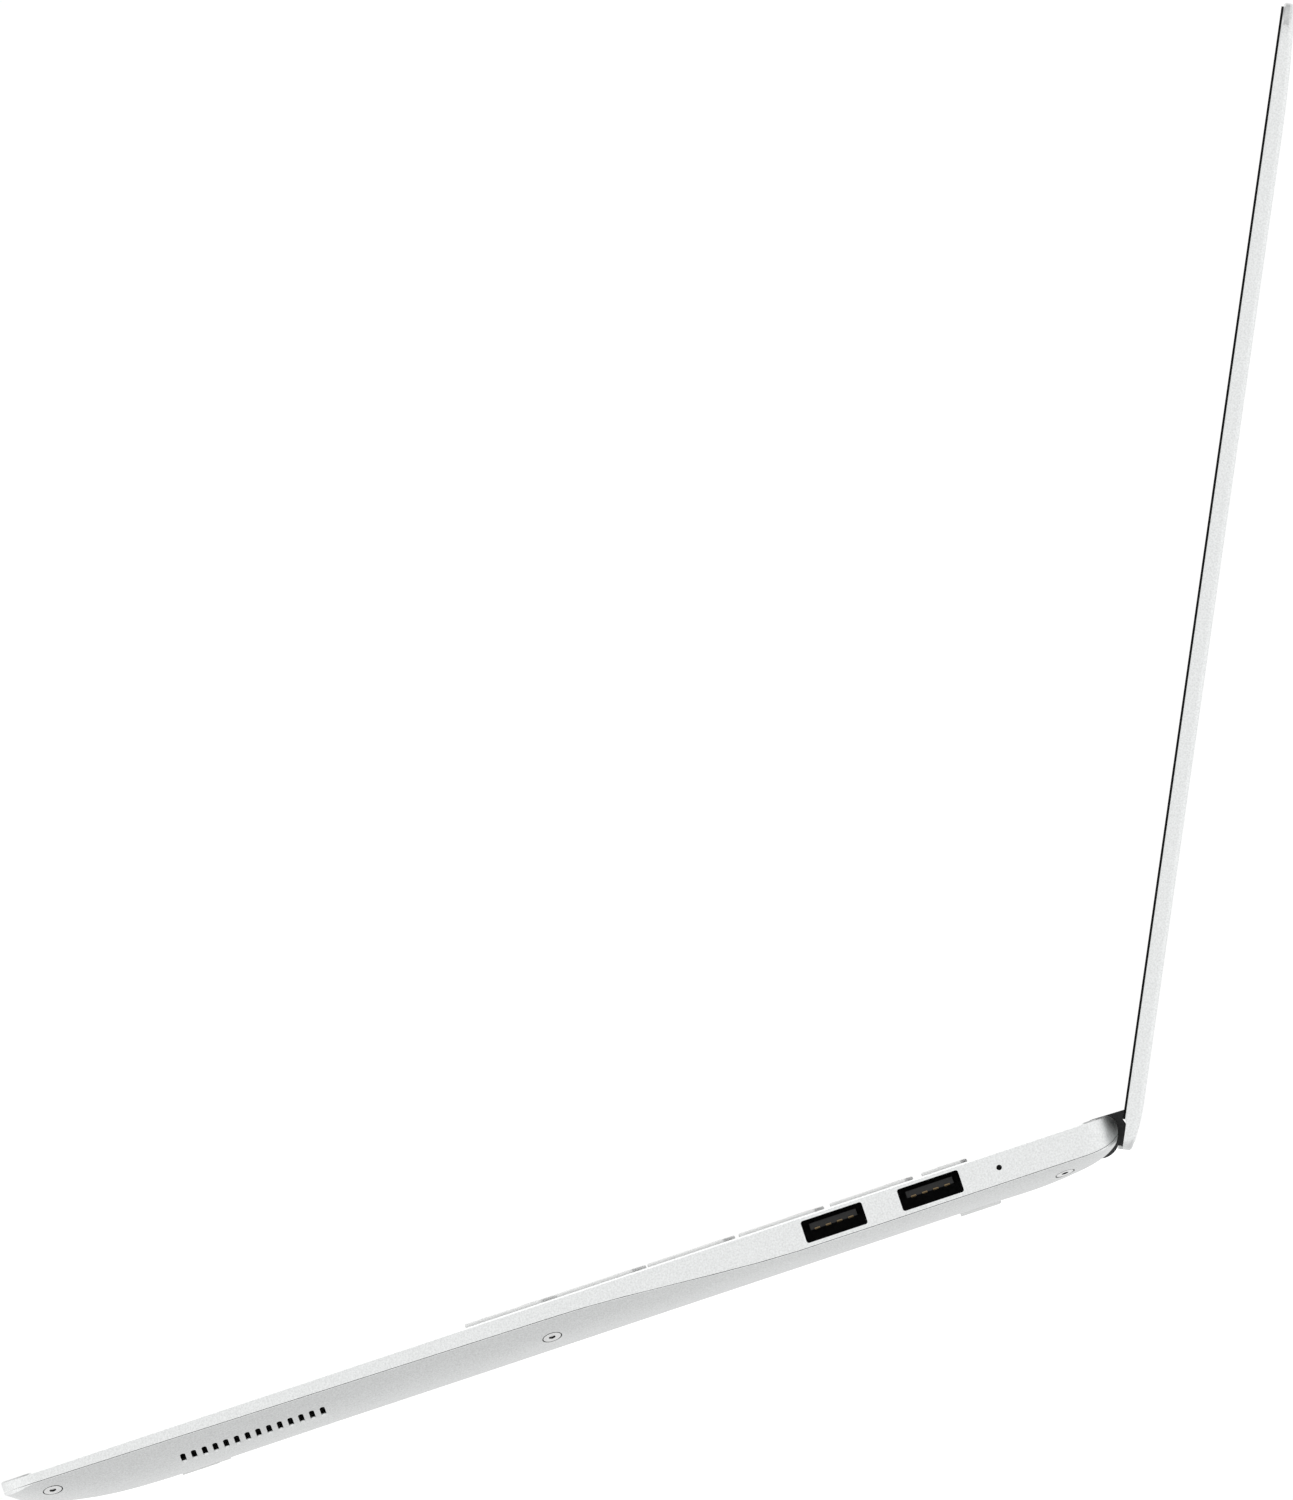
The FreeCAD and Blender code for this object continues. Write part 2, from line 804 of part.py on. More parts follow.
def wall_opening(side, y, z, width, height, radius):
    """A rounded opening through a side wall; side is 1 for the right and -1 for the left."""
    tool = rounded_block(-height / 2, height / 2, -width / 2, width / 2, 0, 6, radius)
    tool.Placement = Placement(Vector(W - 4 if side > 0 else 2 - W, y, z), ALONG_X)
    return tool


def side_hole(side, y, z, radius, length=6.0):
    start = W - length + 2 if side > 0 else -W - 2
    return Part.makeCylinder(radius, length, Vector(start, y, z), Vector(1, 0, 0))


def socket_openings():
    tools = []
    for y in USB_MIDDLES:
        height = USB_TOP - USB_BOTTOM
        tools.append(wall_opening(1, y, (USB_TOP + USB_BOTTOM) / 2, 2 * USB_HALF, height, USB_ROUND))
        relief = plain_block(W - 16, W - WALL + 0.1, y - USB_HALF - 0.7, y + USB_HALF + 0.7, -3.0, -0.45)
        tools.append(relief)
    tools.append(side_hole(1, *LIGHT_PLACE, LIGHT_HOLE))
    tools.append(wall_opening(-1, *TYPE_C_PLACE, *TYPE_C_SIZE, TYPE_C_SIZE[1] / 2 - 0.01))
    tools.append(wall_opening(-1, *HDMI_PLACE, *HDMI_SIZE, 1.0))
    y, z = HDMI_PLACE
    tools.append(plain_block(WALL - W - 0.1, 16 - W, y - 8.2, y + 8.2, -3.0, -0.5))
    tools.append(side_hole(-1, *JACK_PLACE, JACK_BORE + 0.1))
    y, z = JACK_PLACE
    tools.append(plain_block(WALL - W - 0.1, 16 - W, y - 3.4, y + 3.4, -3.0, -0.6))
    return tools


def exhaust_slots():
    """Air outlets through the trough's front wall, behind the cooling fins."""
    count = 16
    pitch = 4.0
    first = float(size("fan_middle_across")) - pitch * (count - 1) / 2
    tools = []
    for index in range(count):
        x = first + pitch * index
        tools.append(plain_block(x - 1.1, x + 1.1, 215.5, 221.4, -5.4, -1.9))
    return tools


def power_button_hole():
    x, y = POWER_PLACE
    return Part.makeCylinder(POWER_RADIUS + 0.2, 6, Vector(x, y, -4))


BRACKET_SCREWS = [(155.0, 204.0), (164.0, 204.0), (155.0, 214.0), (164.0, 214.0)]


def top_case():
    """The keyboard side of the casing: deck, side walls, ears and the walls of the hinge trough."""
    shell = casing.common(seam_slab(2 * float(size("seam_gap")), True))
    shell = shell.cut(cavity).cut(trough(0, EAR))
    bosses = []
    for x, y in cover_screw_places:
        bosses.append(along_screw(x, y, 0, 16, BOSS_RADIUS).common(cavity))
    shell = shell.fuse(bosses)
    tools = key_windows() + socket_openings() + exhaust_slots() + [power_button_hole()]
    gap = float(size("pad_gap"))
    reach = float(size("pad_width")) / 2 + gap
    front = float(size("pad_front")) - gap
    rear = float(size("pad_rear")) + gap
    tools.append(rounded_block(-reach, reach, front, rear, DECK - 1, 2, float(size("pad_corner")) + gap))
    for side in (1, -1):
        for x, y in BRACKET_SCREWS:
            tools.append(Part.makeCylinder(0.8, 0.7, Vector(side * x, y, DECK - 0.1)))
    for x, y in cover_screw_places:
        tools.append(along_screw(x, y, 0, SCREW_LENGTH + 0.3, SCREW_RADIUS + 0.05))
    shell = shell.cut(tools)
    for start_x in (EAR - 1, -EAR - EAR_WALL - 1):
        start = Vector(start_x, HINGE.y, HINGE.z)
        radius = float(size("shaft_radius")) + 0.3
        shell = shell.cut(Part.makeCylinder(radius, EAR_WALL + 2, start, Vector(1, 0, 0)))
    return shell.removeSplitter()


SLOT_LIP = 0.35
SLOT_RELIEF = 0.9


def slot_tool(side, y):
    """One speaker slot through the cover's side slope, with round ends, and wider behind a thin lip."""
    outer = across_at_depth(y, SLOT_DEPTHS[0])
    inner = across_at_depth(y, SLOT_DEPTHS[1])
    half = SLOT_WIDTH / 2
    left, right = sorted((side * inner, side * outer))
    slot = rounded_block(left, right, y - half, y + half, -11.0, -3.0, half - 0.05)
    left, right = sorted((side * (inner - SLOT_RELIEF), side * outer))
    lip_top = SLOT_LIP - SLOT_DEPTHS[1]
    return slot.fuse(rounded_block(left, right, y - half, y + half, lip_top, -3.0, half - 0.05))


FRONT_FEET = (55.0, 95.0, 33.0, 40.0)
REAR_FOOT = (95.0, 195.0, 203.0)
FOOT_SINK = 0.35


FOOT_GAP = 0.1
FOOT_CORNER = 2.0


def foot_blocks(bottom, short_by, gap):
    """The three feet, or their recesses, from a level up to a little inside the cover."""
    left, right, front, rear = FRONT_FEET
    top = FOOT_SINK - short_by - belly_depth((front + rear) / 2)
    corner = FOOT_CORNER + gap
    blocks = []
    for side in (1, -1):
        low, high = sorted((side * left, side * right))
        blocks.append(rounded_block(low - gap, high + gap, front - gap, rear + gap, bottom, top, corner))
    reach, front, rear = REAR_FOOT
    top = FOOT_SINK - short_by - belly_depth((front + rear) / 2)
    blocks.append(rounded_block(-reach - gap, reach + gap, front - gap, rear + gap, bottom, top, corner))
    return blocks


def intake_grille():
    """Parallel air slots below the fan, each as long as the round intake is wide there."""
    radius = 22.0
    pitch = 3.4
    x_middle = float(size("fan_middle_across"))
    y_middle = float(size("fan_middle_along"))
    tools = []
    for step in range(-6, 7):
        y = y_middle + step * pitch
        reach = math.sqrt(radius**2 - (step * pitch) ** 2)
        tools.append(rounded_block(x_middle - reach, x_middle + reach, y - 0.8, y + 0.8, -12, -7, 0.75))
    return tools


def bottom_cover():
    """The shallow pan that closes the base from below."""
    shell = casing.common(seam_slab(float(size("seam_gap")), False))
    shell = shell.cut(cavity).cut(trough(0, EAR))
    tools = foot_blocks(-12.0, 0, FOOT_GAP) + intake_grille()
    for index in range(SLOT_COUNT):
        for side in (1, -1):
            tools.append(slot_tool(side, SLOT_FIRST + index * SLOT_PITCH))
    for x, y in cover_screw_places:
        tools.append(along_screw(x, y, -1, HEAD_SINK, HEAD_RADIUS + 0.22))
        tools.append(along_screw(x, y, 0, 2, SCREW_RADIUS + 0.1))
    return shell.cut(tools).removeSplitter()


keep(shaped("top_case", top_case()), "top_case", BASE)
keep(shaped("bottom_cover", bottom_cover()), "bottom_cover", BASE)

# ---------------------------------------------------------------- lid, lying closed

LID_DEPTH = float(size("lid_depth"))
LID_TOP = float(size("lid_top"))
LID_FACE = float(size("lid_face"))
LID_SHEET = float(size("lid_floor"))
TIP_TOP = 2.6
TIP_RUN = 25.0
HEEL_TOP = 2.67
HEEL_RUN = 9.3
NOTCH_FACE = 0.93
NOTCH_FRONT = 221.4
LIP_FRONT = 226.6
LIP_LOW = 0.05
LID_BEVEL = 0.35
BACK_ROUND = 0.95


def lid_back_line(lower_by, tip, heel):
    """The back of the lid in the side view, from its tip to its heel."""
    top = LID_TOP - lower_by
    tip_rise = LID_TOP - TIP_TOP
    heel_rise = LID_TOP - HEEL_TOP
    tip_share = 1 - tip / TIP_RUN
    middle_share = tip_share / 2
    heel_start = LID_DEPTH - HEEL_RUN
    heel_share = (heel - heel_start) / HEEL_RUN
    tip_point = (tip, top - tip_rise * tip_share**2)
    tip_middle = (TIP_RUN * (1 - middle_share), top - tip_rise * middle_share**2)
    heel_middle = (heel_start + heel_share * HEEL_RUN / 2, top - heel_rise * (heel_share / 2) ** 2)
    heel_point = (heel, top - heel_rise * heel_share**2)
    edges = [side_arc(tip_point, tip_middle, (TIP_RUN, top))]
    edges += side_line((TIP_RUN, top), (heel_start, top))
    edges.append(side_arc((heel_start, top), heel_middle, heel_point))
    return edges, tip_point, heel_point


def lid_profile():
    edges, tip, heel = lid_back_line(0, 0.0, LID_DEPTH)
    closing = side_line(
        heel,
        (LID_DEPTH, NOTCH_FACE),
        (NOTCH_FRONT + 0.8, NOTCH_FACE),
        (NOTCH_FRONT, LID_FACE),
        (0.0, LID_FACE),
        tip,
    )
    return side_slice(edges + closing, -WIDE / 2, WIDE / 2)


ARM_SCREWS = [(112.0, 216.0), (127.0, 216.0), (142.0, 216.0)]
ARM_LOW = 1.5
ARM_HIGH = 2.3


def lid_back_cover():
    """The lid's metal pan with its rolled back edge, rear lip and screw bosses."""
    corner = float(size("lid_corner"))
    outline = upright(rounded_outline(-W, W, 0.0, LID_DEPTH, corner, 3.0), LID_FACE, 8.0)
    face_edges = [edge for edge in outline.Edges if edge.BoundBox.ZMax < LID_FACE + 0.01]
    solid = outline.makeChamfer(LID_BEVEL, face_edges).common(lid_profile())
    back = [
        edge
        for edge in solid.Edges
        if edge.BoundBox.ZMax > HEEL_TOP - 0.08
        and not (edge.BoundBox.XLength > 2 * W - 30 and 5 < edge.BoundBox.YMin < LID_DEPTH - 1)
        and edge.BoundBox.ZMin > TIP_TOP - 0.2
    ]
    solid = solid.makeFillet(BACK_ROUND, back)
    wall = float(size("lid_wall"))
    edges, tip, heel = lid_back_line(LID_SHEET, wall, LID_DEPTH - wall)
    closing = side_line(heel, (heel[0], -3.0), (wall, -3.0), tip)
    inside = side_slice(edges + closing, wall - W, W - wall)
    pocket_outline = upright(
        rounded_outline(wall - W, W - wall, wall, LID_DEPTH - wall, corner - wall, 1.5), -2.0, 8.0
    )
    solid = solid.cut(inside.common(pocket_outline))
    end = float(size("bar_end")) - 0.2
    lip = plain_block(-end, end, LIP_FRONT, LID_DEPTH, LIP_LOW, NOTCH_FACE + 0.3)
    solid = solid.fuse(lip)
    bosses = []
    holes = []
    for side in (1, -1):
        for x, y in ARM_SCREWS:
            bosses.append(Part.makeCylinder(2.2, 1.0, Vector(side * x, y, ARM_HIGH)))
            holes.append(Part.makeCylinder(0.85, 0.7, Vector(side * x, y, ARM_HIGH)))
    solid = solid.fuse(bosses).cut(holes)
    return solid.removeSplitter()


keep(shaped("lid_back_cover", lid_back_cover()), "lid_back_cover", LID)


def hinge_cover():
    """The plastic bar between the ears: a barrel on the hinge line, joined to the lid by a deep web."""
    gap = 0.02
    corner = (HINGE.y - 6.3, float(size("rubber_face")))
    distance = math.hypot(corner[0] - HINGE.y, corner[1] - HINGE.z)
    bearing = math.degrees(math.atan2(corner[1] - HINGE.z, corner[0] - HINGE.y))
    touch_bearing = bearing + math.degrees(math.acos(BARREL / distance))
    rear = LIP_FRONT - gap
    rear_bearing = math.degrees(math.acos((rear - HINGE.y) / BARREL))
    touch = around_hinge(BARREL, touch_bearing)
    top = around_hinge(BARREL, rear_bearing)
    middle = around_hinge(BARREL, (touch_bearing + rear_bearing + 360) / 2)
    edges = [side_arc(touch, middle, top)]
    face = NOTCH_FACE - gap
    edges += side_line(top, (rear, face), (NOTCH_FRONT + 0.8, face))
    edges += side_line((NOTCH_FRONT + 0.8, face), (NOTCH_FRONT, corner[1]), corner, touch)
    end = float(size("bar_end"))
    bar = side_slice(edges, -end, end)
    lining = 1.0
    inside_end = end - lining
    along = Vector(1, 0, 0)
    hollow = Part.makeCylinder(BARREL - lining, 2 * inside_end, Vector(-inside_end, HINGE.y, HINGE.z), along)
    hollow = hollow.fuse(plain_block(-inside_end, inside_end, 222.3, 225.6, HINGE.z, 2.0))
    hole_radius = float(size("shaft_radius")) + 0.1
    hole = Part.makeCylinder(hole_radius, 2 * end + 2, Vector(-end - 1, HINGE.y, HINGE.z), along)
    return bar.cut(hollow).cut(hole).removeSplitter()


keep(shaped("hinge_cover", hinge_cover()), "hinge_cover", LID)

glass = size("glass_face")
face = size("lid_face")
screen_half = size("screen_width") / 2
screen_front = size("screen_margin")
screen_rear = screen_front + size("screen_height")
panel_half = half_width - 4.4
WEBCAM_Y = 4.6


def display_bezel():
    body = new_body("display_bezel")
    reach = half_width - size("lid_wall") - 0.1
    slab(body, -reach, reach, size("lid_wall") + 0.1, 219.2, face, glass, size("lid_corner") - 1.6)
    window(body, -screen_half, screen_half, screen_front, screen_rear, face - 0.5, glass + 0.5, 0.6)
    round_hole(body, 0, WEBCAM_Y, 2.2, face - 0.5, glass + 0.5)
    keep(body, "display_bezel", LID)


def bezel_gasket():
    """The rubber line that keeps the closed lid off the deck."""
    body = new_body("bezel_gasket")
    outer = half_width - 0.7
    inner = outer - 2.6
    front = Size(0.8)
    rear = Size(221.35)
    slab(body, -outer, outer, front, rear, size("rubber_face"), face, size("lid_corner") - 0.7)
    low = size("rubber_face") - 0.5
    window(body, -inner, inner, front + 1.9, 218.6, low, face + 0.5, size("lid_corner") - 3)
    keep(body, "bezel_gasket", LID)


def screen_layers():
    panel = new_body("lcd_panel")
    slab(panel, -panel_half, panel_half, 6.8, 206.5, glass, glass + 0.55)
    keep(panel, "lcd_panel", LID)
    backlight = new_body("backlight_panel")
    slab(backlight, -panel_half, panel_half, 6.8, 210.8, glass + 0.55, glass + 1.35)
    keep(backlight, "backlight_panel", LID)


def webcam():
    board = new_body("webcam_board")
    slab(board, -32, 32, 2.6, 6.6, 1.15, 1.7)
    slab(board, -4, 4, 2.8, 6.4, 1.7, 1.95)
    keep(board, "webcam_board", LID)
    lens = new_body("webcam_lens")
    disc(lens, 0, WEBCAM_Y, 1.9, 0.62, 1.15)
    round_hole(lens, 0, WEBCAM_Y, 0.8, 0.5, 0.85)
    keep(lens, "webcam_lens", LID)


def wifi_antennas():
    foil = block(58, 122, 12, 24, 2.45, 2.6)
    keep(pair(foil), "wifi_antennas", LID)


def hinge_parts():
    """Shafts, lid arms and base brackets of the two friction hinges."""
    shaft_radius = size("shaft_radius")
    shaft = cut(
        rod(110, hinge_y, hinge_z, shaft_radius, 55),
        rod(109, hinge_y, hinge_z, size("shaft_bore"), 57),
    )
    keep(pair(shaft), "hinge_shafts", LID)

    leaf = block(107, 147, 212, 224.6, ARM_LOW, ARM_HIGH)
    web = block(112, 140, 222.9, 224.6, hinge_z, ARM_LOW + 0.2)
    sleeve = rod(112, hinge_y, hinge_z, shaft_radius + 1, 28)
    bore = rod(111, hinge_y, hinge_z, shaft_radius + 0.02, 30)
    holes = [rod(x, y, ARM_LOW - 1, 1.0, 3, ALONG_Z) for x, y in ARM_SCREWS]
    arm = cut(join(leaf, web, sleeve), bore, *holes)
    keep(pair(arm), "hinge_arms", LID)

    arm_screws = []
    for x, y in ARM_SCREWS:
        head = rod(x, y, ARM_LOW - 0.42, 1.9, 0.42, ALONG_Z)
        shank = rod(x, y, ARM_LOW - 0.1, 0.8, 1.4, ALONG_Z)
        arm_screws.append(join(head, shank))
    keep(group(*arm_screws, *[mirrored(s) for s in arm_screws]), "hinge_arm_screws", LID)

    deck = -size("deck_thickness")
    foot = block(151, 168, 200, 222.5, deck - 1.3, deck)
    neck = block(151, 164, 219.5, 225.2, hinge_z - 0.8, deck - 1.0)
    knuckle = rod(151, hinge_y, hinge_z, shaft_radius + 0.8, 13)
    bearing = rod(150, hinge_y, hinge_z, shaft_radius + size("running_gap"), 15)
    bolt_holes = [rod(x, y, deck - 2.3, 1.0, 3, ALONG_Z) for x, y in BRACKET_SCREWS]
    bracket = cut(join(foot, neck, knuckle), bearing, *bolt_holes)
    keep(pair(bracket), "hinge_brackets", BASE)

    bracket_screws = []
    for x, y in BRACKET_SCREWS:
        head = rod(x, y, deck - 1.9, 1.9, 0.6, ALONG_Z)
        shank = rod(x, y, deck - 1.4, 0.75, 1.9, ALONG_Z)
        bracket_screws.append(join(head, shank))
    keep(group(*bracket_screws, *[mirrored(s) for s in bracket_screws]), "hinge_bracket_screws", BASE)


display_bezel()
bezel_gasket()
screen_layers()
webcam()
wifi_antennas()
hinge_parts()


def bent_wire(points, radius, bend):
    """A round wire along straight runs joined by tangent arcs."""
    stops = [Vector(*p) for p in points]
    edges = []
    start = stops[0]
    for before, corner, after in zip(stops, stops[1:], stops[2:]):
        back = (before - corner).normalize()
        ahead = (after - corner).normalize()
        half_turn = (math.pi - back.getAngle(ahead)) / 2
        setback = bend * math.tan(half_turn)
        first = corner + back * setback
        last = corner + ahead * setback
        inward = (back + ahead).normalize()
        crown = corner + inward * (bend / math.cos(half_turn) - bend)
        edges.append(Part.LineSegment(start, first).toShape())
        edges.append(Part.Arc(first, crown, last).toShape())
        start = last
    edges.append(Part.LineSegment(start, stops[-1]).toShape())
    path = Part.Wire(edges)
    heading = (stops[1] - stops[0]).normalize()
    section = Part.Wire(Part.Circle(stops[0], heading, radius).toShape())
    wire = path.makePipeShell([section], True, False)
    length = sum(edge.Length for edge in edges)
    share = wire.Volume / (math.pi * radius**2 * length)
    if abs(share - 1) > 0.01:
        raise ValueError(f"wire volume is {share:.3f} of its section times its length")
    return wire


LID_CABLE = [
    (-60, 211.0, 2.0),
    (-60, 223.4, 2.0),
    (-60, 223.9, -0.8),
    (-60, HINGE.y, HINGE.z),
    (-165.4, HINGE.y, HINGE.z),
]
BASE_CABLE = [
    (-165.5, HINGE.y, HINGE.z),
    (-169.6, HINGE.y, HINGE.z),
    (-169.6, 214.0, -5.6),
    (-160.0, 203.0, -5.6),
    (-150.0, 196.0, -5.0),
]
BOARD_CABLE = [(146.5, 176.0, -5.4), (141.8, 176.0, -5.4), (141.8, 122.0, -5.4), (65.3, 122.0, -4.2)]
keep(shaped("display_cable", bent_wire(LID_CABLE, 0.35, 1.2)), "display_cable", LID)
keep(shaped("base_display_cable", bent_wire(BASE_CABLE, 0.35, 1.2)), "base_display_cable", BASE)
keep(shaped("io_board_cable", bent_wire(BOARD_CABLE, 0.4, 2.0)), "io_board_cable", BASE)

# ---------------------------------------------------------------- keyboard support, touchpad and power button

plate_top = -size("plate_top")
board_top = -size("board_top")
board_low = board_top - size("board_thickness")


def keyboard_support():
    plate = new_body("keyboard_plate")
    slab(plate, -144.5, 144.5, 93, 201.8, plate_top - size("plate_thickness"), plate_top, 2)
    keep(plate, "keyboard_plate", BASE)
    membrane = new_body("keyboard_membrane")
    slab(membrane, -144, 144, 93.5, 201.3, plate_top, plate_top + size("membrane_thickness"), 2)
    keep(membrane, "keyboard_membrane", BASE)


def touchpad():
    half = size("pad_width") / 2
    pad_plate = new_body("touchpad")
    slab(pad_plate, -half, half, size("pad_front"), size("pad_rear"), -1.05, -0.05, size("pad_corner"))
    slab(pad_plate, -half + 2, half - 2, size("pad_front") + 2, size("pad_rear") - 1.5, -1.75, -1.05, 2)
    keep(pad_plate, "touchpad", BASE)
    frame = new_body("touchpad_frame")
    slab(frame, -half - 3.5, half + 3.5, size("pad_front") - 1.4, size("pad_rear") + 3, -3.3, -2.8, 2)
    for side in (1, -1):
        low, high = (half + 1, half + 3.5) if side > 0 else (-half - 3.5, -half - 1)
        slab(frame, low, high, size("pad_front") + 4, size("pad_rear") - 4, -2.9, -size("deck_thickness"))
    keep(frame, "touchpad_frame", BASE)


def power_button():
    x, y = POWER_PLACE
    button = new_body("power_button")
    disc(button, x, y, POWER_RADIUS, -1.5, -0.05)
    disc(button, x, y, POWER_RADIUS + 1, -1.95, -1.45)
    keep(button, "power_button", BASE)


keyboard_support()
touchpad()
power_button()

# ---------------------------------------------------------------- electronics and cooling

fan_x = size("fan_middle_across")
fan_y = size("fan_middle_along")


def motherboard():
    board = new_body("motherboard")
    slab(board, -135, 65, 100, 199, board_low, board_top, 2)
    slab(board, -164.3, -134, 160, 204, board_low, board_top, 1)
    memory_chips = [(18, 36, 140), (18, 36, 155), (18, 36, 170)]
    for left, right, front in memory_chips:
        slab(board, left, right, front, front + 10, board_low - 1, board_low + 0.1)
    slab(board, -95, -75, 146, 166, board_low - 0.9, board_low + 0.1)
    slab(board, -20, 30, 103, 109, board_low - 1.6, board_low + 0.1)
    keep(board, "motherboard", BASE)


def card(name, left, right, front, rear, chips, connector):
    """A plug-in card below the motherboard: its board, its chips and its socket end."""
    body = new_body(name)
    slab(body, left, right, front, rear, -6.2, -5.4)
    for chip in chips:
        slab(body, *chip, -7.4, -6.15)
    slab(body, *connector, -6.8, board_low)
    keep(body, name, BASE)


def cooling():
    plate = new_body("processor_plate")
    slab(plate, -36, 6, 138, 177, board_low - 1.4, board_low, 3)
    keep(plate, "processor_plate", BASE)

    pipe = new_body("heat_pipe")
    spine = new_sketch(pipe, "XY_Plane", board_low - 2.4)
    run_y = 157.5
    riser_x = 58.0
    fins_y = 208.8
    bend = 14.0
    segments = [
        Part.LineSegment(Vector(-32, run_y, 0), Vector(riser_x - bend, run_y, 0)),
        Part.ArcOfCircle(
            Part.Circle(Vector(riser_x - bend, run_y + bend, 0), Vector(0, 0, 1), bend), -math.pi / 2, 0
        ),
        Part.LineSegment(Vector(riser_x, run_y + bend, 0), Vector(riser_x, fins_y - bend, 0)),
        Part.ArcOfCircle(
            Part.Circle(Vector(riser_x + bend, fins_y - bend, 0), Vector(0, 0, 1), bend), math.pi / 2, math.pi
        ),
        Part.LineSegment(Vector(riser_x + bend, fins_y, 0), Vector(136, fins_y, 0)),
    ]
    spine.addGeometry(segments)
    spine.addConstraint(Sketcher.Constraint("Block", 0))
    section = new_sketch(pipe, "YZ_Plane", -32)
    middle = board_low - 2.4
    sketch_rectangle(section, run_y - 4, run_y + 4, middle - 0.95, middle + 0.95, 0.9)
    sweep = pipe.newObject("PartDesign::AdditivePipe", "sweep")
    sweep.Profile = section
    sweep.Spine = (spine, [f"Edge{n}" for n in range(1, 6)])
    keep(pipe, "heat_pipe", BASE)

    fins = new_body("heatsink_fins")
    fin_top = -2.6
    fin_low = board_low - 1.4
    slab(fins, 72, 138, 203.5, 214.5, fin_top - 0.4, fin_top)
    slab(fins, 72, 138, 203.5, 214.5, fin_low, fin_low + 0.4)
    first_fin = slab(fins, 72, 72.5, 203.5, 214.5, fin_low, fin_top)
    rows = fins.newObject("PartDesign::LinearPattern", "fin_rows")
    rows.Originals = [first_fin]
    axis = next(f for f in fins.Origin.OriginFeatures if f.Role == "X_Axis")
    rows.Direction = (axis, [""])
    rows.Length = 65.5
    rows.Occurrences = 27
    fins.Tip = rows
    keep(fins, "heatsink_fins", BASE)

    housing = new_body("fan_housing")
    fan_top = Size(-3.4)
    fan_low = Size(-8.1)
    sheet_metal = 0.5
    slab(housing, fan_x - 32, fan_x + 32, fan_y - 32, fan_y + 38, fan_low, fan_top, 6)
    round_room = size("blade_radius") + 1.5
    round_hole(housing, fan_x, fan_y, round_room, fan_low + sheet_metal, fan_top - sheet_metal)
    window(
        housing, fan_x - 27, fan_x + 28.5, fan_y, fan_y + 40, fan_low + sheet_metal, fan_top - sheet_metal
    )
    round_hole(housing, fan_x, fan_y, 20, fan_low - 1, fan_low + 1)
    disc(housing, fan_x, fan_y, 1.5, fan_top - 3.0, fan_top - sheet_metal + 0.1)
    keep(housing, "fan_housing", BASE)

    rotor = new_body("fan_rotor")
    disc(rotor, fan_x, fan_y, 11, -7.3, -4.2)
    blade = new_sketch(rotor, "XY_Plane", -7.2)
    sketch_rectangle(blade, fan_x + 10, fan_x + size("blade_radius"), fan_y - 0.5, fan_y + 0.5)
    first_blade = pad(rotor, blade, 3.0)
    document.recompute()
    ring = rotor.newObject("PartDesign::PolarPattern", "blades")
    ring.Originals = [first_blade]
    ring.Occurrences = 23
    ring.Angle = 360
    spin_line = new_sketch(rotor, "XY_Plane", 0)
    spin_line.AttachmentOffset = Placement(Vector(float(fan_x), float(fan_y), 0), Rotation())
    spin_line.setExpression("AttachmentOffset.Base.x", fan_x.formula)
    spin_line.setExpression("AttachmentOffset.Base.y", fan_y.formula)
    ring.Axis = (spin_line, ["N_Axis"])
    rotor.Tip = ring
    round_hole(rotor, fan_x, fan_y, size("running_gap") + 1.5, -6.6, -4.0)
    keep(rotor, "fan_rotor", BASE)


def battery_pack():
    battery = new_body("battery_pack")
    slab(battery, -128, 128, 24, 89, -8.3, -7.8, 1)
    cell_width = 62.0
    for index in range(4):
        left = -127.0 + index * (cell_width + 2)
        slab(battery, left, left + cell_width, 25, 82, -7.9, -3.6, 2.5)
    slab(battery, -60, 60, 83.5, 88.5, -7.9, -5.0)
    keep(battery, "battery_pack", BASE)


motherboard()
card("ssd_module", -130, -50, 112, 134, [(-125, -105, 114, 132), (-98, -78, 114, 132)], (-52, -46, 112, 134))
card("wifi_card", -130, -100, 168, 190, [(-126, -106, 170, 188)], (-103, -97, 168, 190))
cooling()
battery_pack()

# ---------------------------------------------------------------- sockets, small boards, speakers and feet


def usb_sockets():
    """Two metal USB-A shells open to the right, and the contact tongue inside each."""
    sheet_metal = size("shell_sheet")
    front_x = half_width - size("socket_setback")
    back_x = front_x - size("usb_length")
    half = size("usb_width") / 2 - 0.1
    high = -size("usb_top") - 0.05
    low = high - size("usb_height") + 0.1
    shells = []
    tongues = []
    for middle in (size("usb_front_middle"), size("usb_rear_middle")):
        outside = half + sheet_metal
        floor = low - sheet_metal
        body = block(back_x, front_x, middle - outside, middle + outside, floor, high + sheet_metal)
        room = block(back_x + 1, front_x + 1, middle - half, middle + half, low, high)
        shells.append(cut(body, room))
        tongue = block(back_x + 1, front_x - 0.6, middle - 4.8, middle + 4.8, high - 2.2, high - 0.9)
        tongues.append(tongue)
    keep(group(*shells), "usb_shells", BASE)
    keep(group(*tongues), "usb_tongues", BASE)


